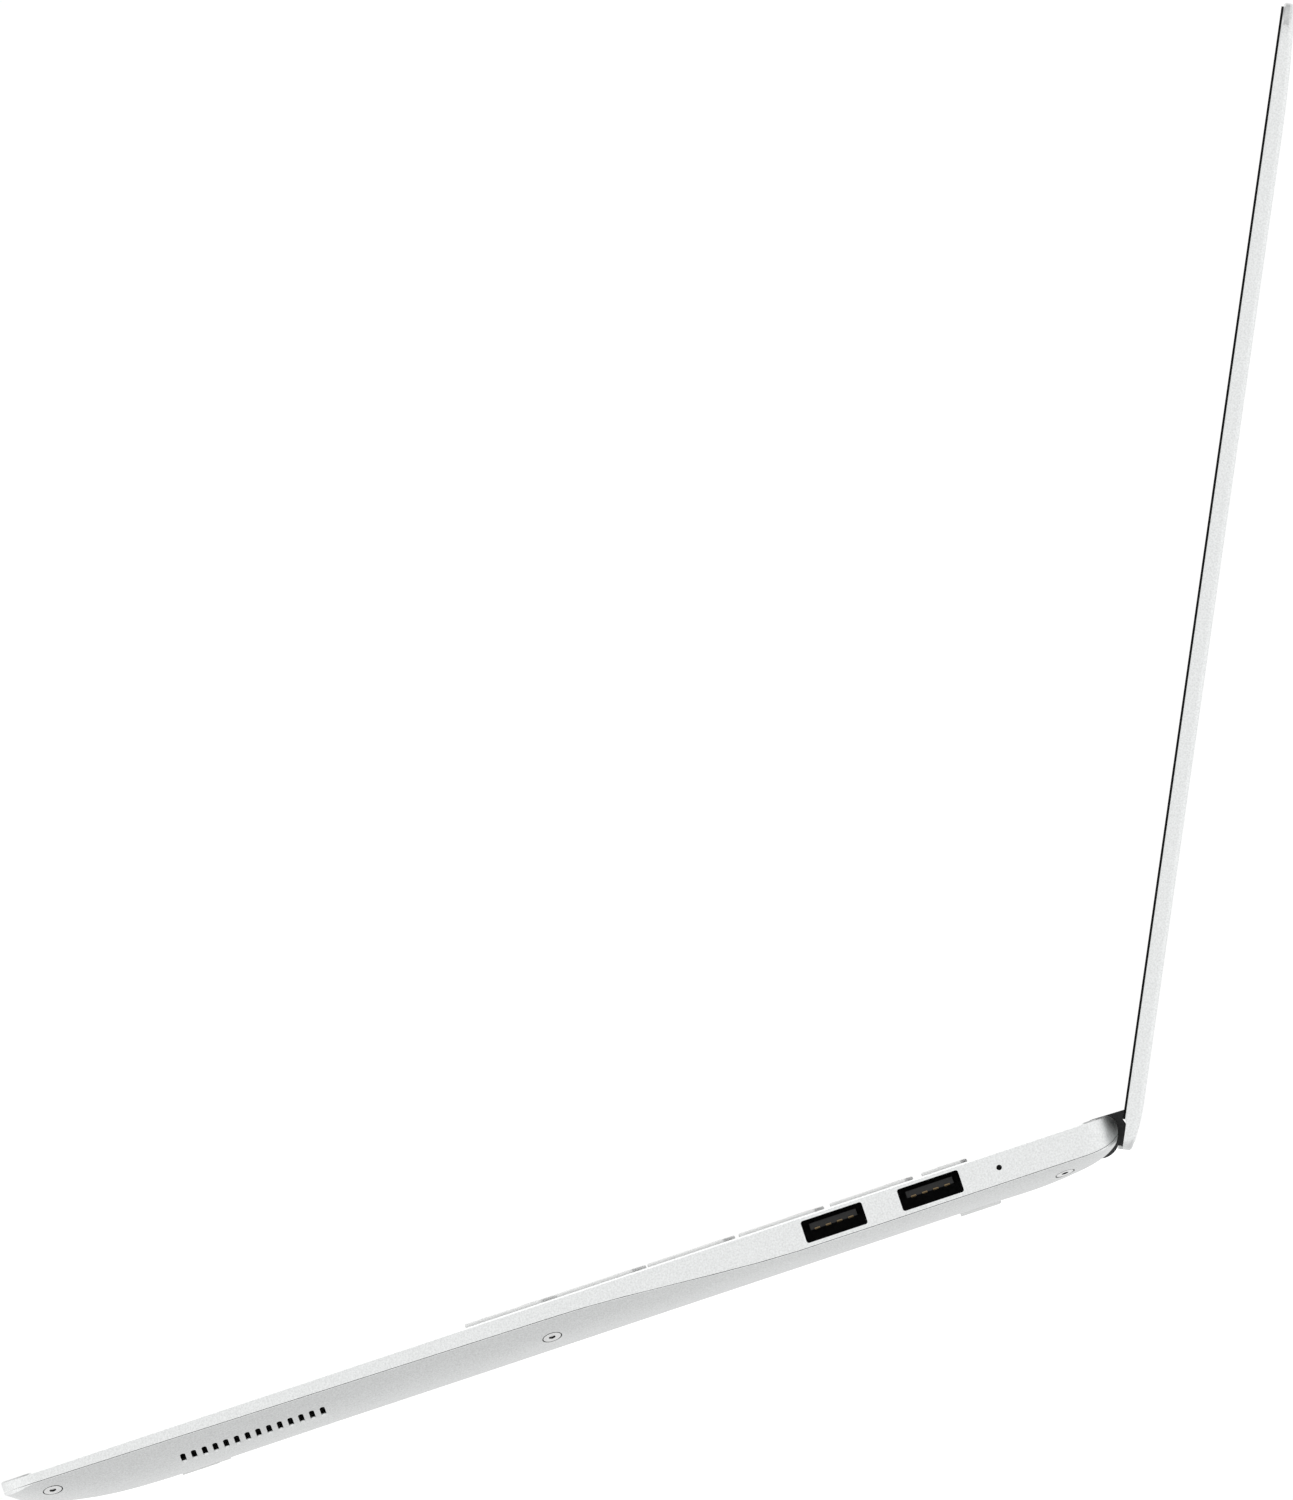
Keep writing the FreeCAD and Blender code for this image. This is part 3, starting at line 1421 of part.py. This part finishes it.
def left_sockets():
    outer_x = -half_width + size("socket_setback")
    y, z = TYPE_C_PLACE
    width, height = TYPE_C_SIZE
    across = width / 2
    upward = height / 2
    shell = block(outer_x, outer_x + 8, y - across, y + across, z - upward, z + upward)
    across -= 0.35
    upward -= 0.35
    room = block(outer_x - 1, outer_x + 6.5, y - across, y + across, z - upward, z + upward)
    tongue = block(outer_x + 1, outer_x + 7, y - 3.3, y + 3.3, z - 0.35, z + 0.35)
    keep(join(cut(shell, room), tongue), "usb_c_socket", BASE)

    y, z = HDMI_PLACE
    shell = block(outer_x, outer_x + 12, y - 7.5, y + 7.5, z - 2.6, z + 2.6)
    room = block(outer_x - 1, outer_x + 10.5, y - 7.1, y + 7.1, z - 2.25, z + 2.25)
    tongue = block(outer_x + 1.5, outer_x + 11, y - 5.5, y + 5.5, z - 0.6, z + 0.6)
    keep(join(cut(shell, room), tongue), "hdmi_socket", BASE)

    y, z = JACK_PLACE
    body = block(outer_x, outer_x + 12, y - 3.1, y + 3.1, z - 2.5, z + 2.5)
    bore = rod(outer_x - 1, y, z, JACK_BORE, 11.5)
    keep(group(cut(body, bore)), "audio_jack", BASE)


def right_board():
    board = new_body("io_board")
    slab(board, 146, 173.5, 160, 209, -6.7, -5.8, 1)
    slab(board, 170.5, 173.5, 203.5, 207.3, -5.9, -2.2)
    keep(board, "io_board", BASE)
    y, z = LIGHT_PLACE
    lens = rod(half_width - 5.3, y, z, 0.45, 5.15)
    keep(group(lens), "status_light_lens", BASE)


def speakers():
    cabinet = block(138, 160, 32, 68, -8.4, -2.6)
    driver = rod(149, 50, -8.55, 9.0, 0.8, ALONG_Z)
    keep(pair(join(cabinet, driver)), "speakers", BASE)


def rubber_feet():
    ground = -float(size("front_height")) - float(size("foot_height"))
    feet = Part.makeCompound(foot_blocks(ground, 0.03, 0))
    keep(shaped("rubber_feet", feet), "rubber_feet", BASE)


usb_sockets()
left_sockets()
right_board()
speakers()
rubber_feet()

# ---------------------------------------------------------------- check and write

document.recompute()
for thing in document.Objects:
    if "Invalid" in thing.State or "Error" in thing.State:
        raise RuntimeError(f"{thing.Label} of {thing.TypeId} failed to build: {thing.State}")
os.makedirs("parts", exist_ok=True)
for piece in nodes:
    shape = piece.Shape
    if shape.isNull() or not shape.isValid() or shape.Volume <= 0:
        raise RuntimeError(f"{piece.Label} has no sound shape")
    shape.exportStep(f"parts/{piece.Label}.step")
print(len(nodes), "pieces written")
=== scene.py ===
"""The looks of a slim silver laptop, standing open at its rest pose on a white table.

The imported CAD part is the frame: its nodes keep their shapes and get finishes here.
Lengths are in metres, and the axes are the part's own: +X to the user's right,
+Y to the back, +Z up, with the rest plane of the feet at Z 0.
"""

import json
import math

import bmesh
import bpy
from mathutils import Matrix, Vector


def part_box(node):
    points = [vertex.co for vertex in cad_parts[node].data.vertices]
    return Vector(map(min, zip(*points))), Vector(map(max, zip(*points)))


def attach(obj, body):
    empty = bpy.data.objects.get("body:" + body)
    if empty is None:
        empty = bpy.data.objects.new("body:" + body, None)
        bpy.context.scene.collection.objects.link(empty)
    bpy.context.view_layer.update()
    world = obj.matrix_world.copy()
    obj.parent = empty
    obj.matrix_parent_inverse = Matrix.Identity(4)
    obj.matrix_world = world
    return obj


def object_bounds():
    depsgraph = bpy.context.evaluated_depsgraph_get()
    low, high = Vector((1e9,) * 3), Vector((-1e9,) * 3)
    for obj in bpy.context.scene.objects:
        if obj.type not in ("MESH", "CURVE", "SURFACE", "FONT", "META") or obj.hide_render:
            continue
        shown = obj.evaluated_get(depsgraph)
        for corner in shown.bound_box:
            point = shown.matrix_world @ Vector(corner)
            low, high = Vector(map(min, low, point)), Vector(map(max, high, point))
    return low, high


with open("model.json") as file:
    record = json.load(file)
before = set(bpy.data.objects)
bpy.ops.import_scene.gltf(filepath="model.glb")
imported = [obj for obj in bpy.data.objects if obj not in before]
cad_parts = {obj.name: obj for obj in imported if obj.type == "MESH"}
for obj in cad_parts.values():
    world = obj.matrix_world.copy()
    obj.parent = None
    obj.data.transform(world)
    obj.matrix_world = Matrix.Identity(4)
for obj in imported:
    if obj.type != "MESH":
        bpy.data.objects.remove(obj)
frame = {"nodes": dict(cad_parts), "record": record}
cad_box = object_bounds()

NODES = frame["nodes"]
RECORD = frame["record"]
MM = 0.001


# ---------------------------------------------------------------- camera

VIEW_ROLL = math.radians(18.38)
CAMERA_DISTANCE = 11.0
EYE_BEHIND_HINGE = 6.2 * MM
EYE_BELOW_DECK = 1 * MM
AIM_AHEAD_OF_MIDDLE = 0.46 * MM
AIM_ABOVE_MIDDLE = 3.37 * MM
FIELD_HEIGHT = 0.2941
SENSOR_MILLIMETRES = 36.0
CLIP_START = 0.1
CLIP_END = 50


def joint_place(name):
    """The point on a joint's axis."""
    joint = next(j for j in RECORD["behaviour"]["joints"] if j["name"] == name)
    return Vector(joint["pos_m"])


def make_camera():
    """A long lens level with the deck, square to the right-hand side and rolled clockwise."""
    low, high = cad_box
    middle = (low + high) / 2
    deck_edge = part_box("top_case")[1].z
    hinge = joint_place("lid_hinge")
    eye = Vector((high.x + CAMERA_DISTANCE, hinge.y + EYE_BEHIND_HINGE, deck_edge - EYE_BELOW_DECK))
    target = Vector((high.x, middle.y - AIM_AHEAD_OF_MIDDLE, middle.z + AIM_ABOVE_MIDDLE))
    back = (eye - target).normalized()
    level = Vector((0, math.cos(VIEW_ROLL), -math.sin(VIEW_ROLL)))
    up = back.cross(level).normalized()
    right = up.cross(back)

    data = bpy.data.cameras.new("camera")
    data.sensor_width = SENSOR_MILLIMETRES
    data.lens = SENSOR_MILLIMETRES * (eye - target).length / FIELD_HEIGHT
    data.clip_start = CLIP_START
    data.clip_end = CLIP_END
    camera = bpy.data.objects.new("camera", data)
    camera.matrix_world = Matrix((right, up, back)).transposed().to_4x4()
    camera.location = eye
    bpy.context.scene.collection.objects.link(camera)
    bpy.context.scene.camera = camera


# ---------------------------------------------------------------- node tools

def tinted(colour, factor):
    return tuple(c * factor for c in colour)


def grey(level):
    return (level, level, level)


class Graph:
    """A node tree: makes nodes in one line each and joins them up."""

    def __init__(self, tree):
        self.tree = tree
        self.tree.nodes.clear()

    def join(self, source, target):
        self.tree.links.new(source, target)

    def feed(self, socket, value):
        """Sets a socket to a number or colour, or links it to another socket."""
        if isinstance(value, bpy.types.NodeSocket):
            self.join(value, socket)
        else:
            socket.default_value = value

    def remap(self, value, low, high, start=0.3, end=0.7, smooth=False):
        """Carries start..end to low..high, held inside that range."""
        node = self.tree.nodes.new("ShaderNodeMapRange")
        if smooth:
            node.interpolation_type = "SMOOTHSTEP"
        self.join(value, node.inputs["Value"])
        node.inputs["From Min"].default_value = start
        node.inputs["From Max"].default_value = end
        self.feed(node.inputs["To Min"], low)
        self.feed(node.inputs["To Max"], high)
        return node.outputs["Result"]

    def maths(self, operation, a, b=0.0):
        """One sum on two values; an operation that takes one value ignores b."""
        node = self.tree.nodes.new("ShaderNodeMath")
        node.operation = operation
        self.feed(node.inputs[0], a)
        self.feed(node.inputs[1], b)
        return node.outputs["Value"]

    def axes(self, vector):
        """The X, Y and Z of a vector."""
        node = self.tree.nodes.new("ShaderNodeSeparateXYZ")
        self.join(vector, node.inputs["Vector"])
        return node.outputs["X"], node.outputs["Y"], node.outputs["Z"]


class Shader(Graph):
    """A surface material on the object's own coordinates."""

    def __init__(self, name):
        self.material = bpy.data.materials.new(name)
        self.material.use_nodes = True
        super().__init__(self.material.node_tree)
        output = self.tree.nodes.new("ShaderNodeOutputMaterial")
        self.shader = self.tree.nodes.new("ShaderNodeBsdfPrincipled")
        self.join(self.shader.outputs["BSDF"], output.inputs["Surface"])
        place = self.tree.nodes.new("ShaderNodeTexCoord")
        self.coordinates = place.outputs["Object"]
        self.facing = place.outputs["Normal"]

    def set(self, **values):
        """Sets the surface's own sockets, whose names have _ for a space."""
        for name, value in values.items():
            self.feed(self.shader.inputs[name.replace("_", " ")], value)

    def noise(self, size, detail=2.0, stretch=(1, 1, 1)):
        """Noise from 0 to 1 with features of about this size."""
        scaled = self.tree.nodes.new("ShaderNodeMapping")
        self.join(self.coordinates, scaled.inputs["Vector"])
        scaled.inputs["Scale"].default_value = [s / size for s in stretch]
        noise = self.tree.nodes.new("ShaderNodeTexNoise")
        self.join(scaled.outputs["Vector"], noise.inputs["Vector"])
        noise.inputs["Scale"].default_value = 1
        noise.inputs["Detail"].default_value = detail
        noise.inputs["Roughness"].default_value = 0.5
        return noise.outputs["Fac"]

    def shade(self, factor, dark, light):
        """A colour between dark and light, where light may be another socket."""
        node = self.tree.nodes.new("ShaderNodeMix")
        node.data_type = "RGBA"
        self.feed(node.inputs["Factor"], factor)
        node.inputs["A"].default_value = (*dark, 1)
        self.feed(node.inputs["B"], light if isinstance(light, bpy.types.NodeSocket) else (*light, 1))
        return node.outputs["Result"]

    def mottle(self, noise, colour, dark, light, start=0.3, end=0.7):
        """The colour times a factor that follows a noise from dark to light."""
        factor = self.remap(noise, 0, 1, start, end)
        return self.shade(factor, tinted(colour, dark), tinted(colour, light))

    def bump(self, height, depth, strength=1.0):
        """Adds relief of this depth, from a height of 0 to 1, and gives the finished material."""
        node = self.tree.nodes.new("ShaderNodeBump")
        self.feed(node.inputs["Strength"], strength)
        node.inputs["Distance"].default_value = depth
        self.join(height, node.inputs["Height"])
        self.join(node.outputs["Normal"], self.shader.inputs["Normal"])
        return self.material


# ---------------------------------------------------------------- finishes

BEVEL = 0.36 * MM
BEVEL_FACING = (0.4, 0.95)
POLISH_ROUGHNESS = 0.12
POLISH_RELIEF = 0.1


def polished_edge(metal):
    """1 on the diamond-cut bevel round the deck's top edge, 0 on the blasted faces."""
    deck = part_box("top_case")[1].z
    height = metal.axes(metal.coordinates)[2]
    upward = metal.axes(metal.facing)[2]
    steepest, flattest = BEVEL_FACING
    high_enough = metal.maths("GREATER_THAN", height, deck - BEVEL)
    not_a_wall = metal.maths("GREATER_THAN", upward, steepest)
    not_the_deck = metal.maths("LESS_THAN", upward, flattest)
    sloping = metal.maths("MULTIPLY", not_a_wall, not_the_deck)
    return metal.maths("MULTIPLY", high_enough, sloping)


BLAST_GRAIN = 0.35 * MM
BLAST_CLOUD = 20 * MM
BLAST_SPECKLE = 0.09
# Painted shade: an ambient-occlusion pass darkens the metal's colour in narrow gaps, slots and round the
# screws.
CREVICE = 0.5 * MM
CREVICE_PAINTED_SHADE = 0.12
PAINTED_SHADE_SAMPLES = 8
FACE_PAINTED_SHADE = (0.25, 0.6)
SCREW_PAINTED_SHADE = (0.78, 0.95)


def blasted_metal(name, colour, roughness, depth, painted_shade_range=FACE_PAINTED_SHADE, bevelled=False):
    """Anodised, bead-blasted aluminium: a fine even grain with faint speckle, and painted shade that
    darkens its colour in narrow gaps.
    """
    metal = Shader(name)
    fine = metal.noise(BLAST_GRAIN, detail=1.5)
    # Painted shade: ambient occlusion darkens the base colour where gaps and crevices lie in shade.
    painted_shade = metal.tree.nodes.new("ShaderNodeAmbientOcclusion")
    painted_shade.inputs["Distance"].default_value = CREVICE
    painted_shade.samples = PAINTED_SHADE_SAMPLES
    unshaded = metal.remap(painted_shade.outputs["AO"], 0, 1, *painted_shade_range)
    cloud = metal.noise(BLAST_CLOUD)
    blasted = metal.remap(cloud, roughness - 0.03, roughness + 0.03)
    relief = 1.0
    if bevelled:
        bevel = polished_edge(metal)
        blasted = metal.remap(bevel, blasted, POLISH_ROUGHNESS, 0, 1)
        relief = metal.remap(bevel, 1.0, POLISH_RELIEF, 0, 1)
    face = metal.mottle(fine, colour, 1 - BLAST_SPECKLE, 1 + BLAST_SPECKLE)
    metal.set(
        # The base colour is painted shade in the gaps and the grained face elsewhere.
        Base_Color=metal.shade(unshaded, tinted(colour, CREVICE_PAINTED_SHADE), face),
        Metallic=1.0,
        Roughness=blasted,
    )
    return metal.bump(fine, depth, relief)


def moulded_plastic(name, colour, roughness, variation=0.12):
    """Spark-textured moulded plastic."""
    plastic = Shader(name)
    fine = plastic.noise(0.3 * MM)
    cloud = plastic.noise(12 * MM, detail=3)
    plastic.set(
        Base_Color=plastic.mottle(cloud, colour, 1 - variation, 1 + variation),
        Roughness=plastic.remap(fine, roughness - 0.06, roughness + 0.06),
    )
    return plastic.bump(fine, 0.01 * MM)


def rubber(name, colour, variation=0.3):
    """Soft matt rubber with a faint bloom."""
    soft = Shader(name)
    bloom = soft.noise(4 * MM, detail=3)
    soft.set(
        Base_Color=soft.mottle(bloom, colour, 1 - variation, 1 + variation),
        Roughness=soft.remap(bloom, 0.75, 0.9),
        Specular_IOR_Level=0.15,
    )
    return soft.bump(soft.noise(0.4 * MM), 0.01 * MM)


def painted_keys(name, colour):
    """Key caps in a silver paint with a fine metal flake."""
    paint = Shader(name)
    flake = paint.noise(0.15 * MM, detail=1)
    wear = paint.noise(6 * MM)
    paint.set(
        Base_Color=paint.mottle(flake, colour, 0.97, 1.02),
        Metallic=0.4,
        Roughness=paint.remap(wear, 0.45, 0.55),
    )
    return paint.bump(flake, 0.006 * MM)


def brushed_metal(name, colour, roughness):
    """Stamped sheet with a drawn grain along X."""
    sheet = Shader(name)
    streaks = sheet.noise(0.4 * MM, detail=3, stretch=(0.04, 1, 1))
    sheet.set(
        Base_Color=sheet.mottle(streaks, colour, 0.88, 1.06),
        Metallic=1.0,
        Roughness=sheet.remap(streaks, roughness - 0.07, roughness + 0.07),
    )
    return sheet.bump(streaks, 0.008 * MM)


def circuit_board(name, colour):
    """Solder mask over copper tracks."""
    board = Shader(name)
    tracks = board.noise(1.2 * MM, detail=1, stretch=(1, 0.2, 1))
    board.set(
        Base_Color=board.mottle(tracks, colour, 0.8, 1.7, 0.48, 0.55),
        Roughness=board.remap(tracks, 0.32, 0.45),
        Coat_Weight=0.4,
    )
    return board.bump(tracks, 0.03 * MM)


def dark_glass(name, colour, roughness):
    """Glass or film over a switched-off panel."""
    glass = Shader(name)
    haze = glass.noise(30 * MM)
    glass.set(
        Base_Color=glass.mottle(haze, colour, 0.9, 1.15),
        Roughness=glass.remap(haze, roughness, roughness + 0.03),
        Specular_IOR_Level=0.35,
        Coat_Weight=0.1,
        Coat_Roughness=0.2,
    )
    return glass.bump(glass.noise(0.25 * MM, detail=1), 0.004 * MM)


SILVER = (0.86, 0.872, 0.87)
BRIGHT_SILVER = (0.95, 0.955, 0.95)

FINISHES = {
    "silver_aluminium": (blasted_metal, SILVER, 0.4, 0.016 * MM, FACE_PAINTED_SHADE, True),
    "cover_screw": (blasted_metal, BRIGHT_SILVER, 0.32, 0.006 * MM, SCREW_PAINTED_SHADE),
    "hinge_plastic": (moulded_plastic, (0.03, 0.031, 0.033), 0.4),
    "bezel_plastic": (moulded_plastic, grey(0.008), 0.5),
    "black_rubber": (rubber, grey(0.004)),
    "pale_rubber": (rubber, (0.86, 0.865, 0.86), 0.03),
    "screen_glass": (dark_glass, (0.008, 0.009, 0.012), 0.22),
    "lens_glass": (dark_glass, (0.006, 0.006, 0.012), 0.04),
    "key_plastic": (painted_keys, BRIGHT_SILVER),
    "touchpad_surface": (moulded_plastic, (0.72, 0.735, 0.74), 0.3, 0.01),
    "steel_sheet": (brushed_metal, (0.5, 0.51, 0.52), 0.35),
    "membrane_film": (moulded_plastic, (0.6, 0.6, 0.56), 0.4),
    "green_board": (circuit_board, (0.01, 0.07, 0.03)),
    "blue_board": (circuit_board, (0.01, 0.03, 0.1)),
    "copper": (brushed_metal, (0.75, 0.36, 0.2), 0.3),
    "contact_metal": (brushed_metal, (0.3, 0.22, 0.12), 0.4),
    "key_print": (moulded_plastic, grey(0.09), 0.6, 0.05),
    "fan_plastic": (moulded_plastic, grey(0.02), 0.5),
    "battery_wrap": (moulded_plastic, grey(0.018), 0.4),
    "speaker_plastic": (moulded_plastic, grey(0.02), 0.55),
    # The socket steel is nearly black: painted shade for the shadowed inside of the USB ports.
    "socket_steel": (brushed_metal, grey(0.02), 0.5),
    "tongue_plastic": (moulded_plastic, grey(0.008), 0.6),
    "cable_sheath": (moulded_plastic, grey(0.015), 0.55),
    "foil": (brushed_metal, (0.7, 0.7, 0.66), 0.25),
    "light_lens": (rubber, grey(0.002)),
}


def make_finishes():
    """The material of each finish, by name."""
    return {name: make(name, *settings) for name, (make, *settings) in FINISHES.items()}


def dress_nodes(finishes):
    """Gives each CAD node the finish of its material slot in the record."""
    for part in RECORD["subparts"]:
        for material_slot in NODES[part["node"]].material_slots:
            material_slot.material = finishes[part["material_slot"]]


# ---------------------------------------------------------------- added pieces

def add_piece(name, mesh, material, body):
    """Makes an object of a bmesh drawn in the part's frame, and puts it on a body."""
    data = bpy.data.meshes.new(name)
    mesh.to_mesh(data)
    mesh.free()
    data.materials.append(material)
    piece = bpy.data.objects.new(name, data)
    bpy.context.scene.collection.objects.link(piece)
    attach(piece, body)


def body_of_node(node):
    """The body that a CAD node belongs to."""
    return next(body for body, members in RECORD["behaviour"]["bodies"].items() if node in members)


def add_bevelled_box(mesh, low, high, bevel):
    """Adds a box with bevelled edges to a bmesh."""
    middle = (low + high) / 2
    extent = high - low
    place = Matrix.Translation(middle) @ Matrix.Diagonal((*extent, 1))
    made = bmesh.ops.create_cube(mesh, size=1, matrix=place)
    edges = {edge for vertex in made["verts"] for edge in vertex.link_edges}
    bmesh.ops.bevel(mesh, geom=list(edges), offset=bevel, segments=2, affect="EDGES")


TONGUE_WIDTH = 9.6 * MM
CONTACT_COUNT = 4
CONTACT_PITCH = 2.3 * MM
CONTACT_WIDTH = 1.1 * MM
CONTACT_PROUD = 0.12 * MM
CONTACT_SUNK = 0.1 * MM
CONTACT_LENGTH = 7 * MM
CONTACT_BEVEL = 0.04 * MM
NOSE_HEIGHT = 0.22 * MM


def tongue_boxes():
    """The lowest and highest corner of each USB tongue, from the front one to the rear one."""
    low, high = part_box("usb_tongues")
    return [
        (Vector((low.x, start, low.z)), Vector((high.x, start + TONGUE_WIDTH, high.z)))
        for start in (low.y, high.y - TONGUE_WIDTH)
    ]


def make_usb_contacts(finish):
    """Four gilt springs under each tongue, bent up over its outer edge."""
    mesh = bmesh.new()
    for low, high in tongue_boxes():
        middle = (low.y + high.y) / 2
        first = middle - CONTACT_PITCH * (CONTACT_COUNT - 1) / 2
        bottom = low.z - CONTACT_PROUD
        tip = high.x + CONTACT_PROUD
        strip = (high.x - CONTACT_LENGTH, low.z + CONTACT_SUNK)
        nose = (high.x - CONTACT_SUNK, low.z + NOSE_HEIGHT)
        for index in range(CONTACT_COUNT):
            front = first + CONTACT_PITCH * index - CONTACT_WIDTH / 2
            rear = front + CONTACT_WIDTH
            for start, top in (strip, nose):
                near = Vector((start, front, bottom))
                far = Vector((tip, rear, top))
                add_bevelled_box(mesh, near, far, CONTACT_BEVEL)
    add_piece("usb_contacts", mesh, finish, "base")


# The width of each key in a body from left to right, in key pitches, and what is printed on it.
# The empty one is the space bar's place.
KEY_LETTERS = {
    "number_row_keys": ([1] * 13, ["`", "1", "2", "3", "4", "5", "6", "7", "8", "9", "0", "-", "="]),
    "backspace_key": ([2], ["backspace"]),
    "upper_row_keys": ([1.5] + [1] * 12 + [1.5], ["tab", *"QWERTYUIOP", "[", "]", "\\"]),
    "home_row_keys": ([1.75] + [1] * 11, ["caps lock", *"ASDFGHJKL", ";", "'"]),
    "enter_key": ([2.25], ["enter"]),
    "left_shift_key": ([2.25], ["shift"]),
    "lower_row_keys": ([1] * 10, [*"ZXCVBNM", ",", ".", "/"]),
    "right_shift_key": ([2.75], ["shift"]),
    "bottom_row_keys": ([1.25, 1, 1, 1.25, 5.5, 1, 1], ["ctrl", "fn", "opt", "alt", "", "alt", "ctrl"]),
    "function_row_keys": ([1] * 14, ["esc", *[f"F{number}" for number in range(1, 13)], "del"]),
    "left_arrow_key": ([1], ["<"]),
    "right_arrow_key": ([1], [">"]),
    "up_arrow_key": ([1], ["^"]),
    "down_arrow_key": ([1], ["v"]),
}
KEY_GAP = 2.8 * MM
LETTER_HEIGHT = 3.6 * MM
WORD_HEIGHT = 2.5 * MM
SHORT_KEY = 10 * MM
SHORT_KEY_HEIGHT = 2.1 * MM
CAPITAL_SHARE = 0.7
CURVE_STEPS = 3
PRINT_THICKNESS = 0.02 * MM
PRINT_MARGIN = 1.7 * MM


def add_word(target, text, height, x, y, z):
    """Adds printed lettering to a bmesh, its left end at x, its middle at y and its face just above z."""
    curve = bpy.data.curves.new("word", "FONT")
    curve.body = text
    curve.size = height / CAPITAL_SHARE
    curve.align_y = "CENTER"
    curve.resolution_u = CURVE_STEPS
    curve.extrude = PRINT_THICKNESS / 2
    holder = bpy.data.objects.new("word", curve)
    bpy.context.scene.collection.objects.link(holder)
    bpy.context.view_layer.update()
    flat = bpy.data.meshes.new_from_object(holder)
    flat.transform(Matrix.Translation((x, y, z + PRINT_THICKNESS / 2)))
    target.from_mesh(flat)
    bpy.data.objects.remove(holder)
    bpy.data.curves.remove(curve)
    bpy.data.meshes.remove(flat)


def make_key_letters(finish):
    """Plain printed lettering at each key's upper left, one piece for each key body."""
    for node, (widths, words) in KEY_LETTERS.items():
        low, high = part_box(node)
        pitch = (high.x - low.x + KEY_GAP) / sum(widths)
        short = high.y - low.y < SHORT_KEY
        mesh = bmesh.new()
        x = low.x
        for width, word in zip(widths, words):
            if word:
                height = WORD_HEIGHT if len(word) > 1 else LETTER_HEIGHT
                y = high.y - PRINT_MARGIN - height / 2
                if short:
                    height = SHORT_KEY_HEIGHT
                    y = (low.y + high.y) / 2
                add_word(mesh, word, height, x + PRINT_MARGIN, y, high.z)
            x += width * pitch
        add_piece(f"{node}_print", mesh, finish, body_of_node(node))


# ---------------------------------------------------------------- stage and light

FLOOR_SIZE = 12.0
FLOOR_GAP = 0.05 * MM
FLOOR_GLOW = 0.93


def make_floor():
    """A plain white table top that glows, so that shadows on it stay pale."""
    half = FLOOR_SIZE / 2
    mesh = bpy.data.meshes.new("floor")
    corners = [(-half, -half, 0), (half, -half, 0), (half, half, 0), (-half, half, 0)]
    mesh.from_pydata(corners, [], [(0, 1, 2, 3)])
    floor = bpy.data.objects.new("floor", mesh)
    floor.location.z = -FLOOR_GAP
    bpy.context.scene.collection.objects.link(floor)
    white = Shader("floor_white")
    white.set(
        Base_Color=(0.6, 0.6, 0.6, 1),
        Roughness=0.9,
        Specular_IOR_Level=0.0,
        Emission_Color=(1, 1, 1, 1),
        Emission_Strength=FLOOR_GLOW,
    )
    mesh.materials.append(white.material)
    floor.visible_diffuse = False
    floor.visible_glossy = False
    floor.visible_shadow = False


SIDE_LIGHT = 1.05
RIGHT_LIGHT = 0.07
END_LIGHT = 0.25
OVERHEAD_LIGHT = 0.66
STRIP_LIGHT = 0.9
STRIP_HALF = (0.1, 0.22)
CURTAIN_LIGHT = 0.35
CURTAIN_START = (0.3, 0.55)
CEILING_START = (0.25, 0.65)
UNDER_LIGHT = 0.78
UNDER_START = (0.55, 1.0)
BACKDROP = 1.02


def make_world():
    """White all round to the eye.

    As light: bright sides, a grey ceiling with one bright strip, and greyer light from below.
    """
    world = bpy.data.worlds.new("studio")
    world.use_nodes = True
    sky = Graph(world.node_tree)
    direction = sky.tree.nodes.new("ShaderNodeTexCoord").outputs["Generated"]
    x, y, z = sky.axes(direction)
    across = sky.maths("ABSOLUTE", y)
    level = sky.maths("ADD", SIDE_LIGHT, sky.maths("MULTIPLY", x, RIGHT_LIGHT))
    level = sky.maths("ADD", level, sky.maths("MULTIPLY", across, END_LIGHT))
    strip = sky.remap(across, STRIP_LIGHT, 0, *STRIP_HALF, smooth=True)
    curtain = sky.remap(across, 0, CURTAIN_LIGHT, *CURTAIN_START, smooth=True)
    ceiling = sky.maths("ADD", OVERHEAD_LIGHT, sky.maths("ADD", strip, curtain))
    level = sky.remap(z, level, ceiling, *CEILING_START, smooth=True)
    level = sky.remap(sky.maths("MULTIPLY", z, -1), level, UNDER_LIGHT, *UNDER_START, smooth=True)

    light = sky.tree.nodes.new("ShaderNodeBackground")
    sky.join(level, light.inputs["Strength"])
    seen = sky.tree.nodes.new("ShaderNodeBackground")
    seen.inputs["Color"].default_value = (1, 1, 1, 1)
    seen.inputs["Strength"].default_value = BACKDROP
    mix = sky.tree.nodes.new("ShaderNodeMixShader")
    path = sky.tree.nodes.new("ShaderNodeLightPath")
    sky.join(path.outputs["Is Camera Ray"], mix.inputs["Fac"])
    sky.join(light.outputs["Background"], mix.inputs[1])
    sky.join(seen.outputs["Background"], mix.inputs[2])
    output = sky.tree.nodes.new("ShaderNodeOutputWorld")
    sky.join(mix.outputs["Shader"], output.inputs["Surface"])
    bpy.context.scene.world = world


# ---------------------------------------------------------------- the scene

bpy.context.scene.view_settings.view_transform = "Standard"
make_camera()
make_floor()
make_world()
finishes = make_finishes()
dress_nodes(finishes)
make_usb_contacts(finishes["contact_metal"])
make_key_letters(finishes["key_print"])
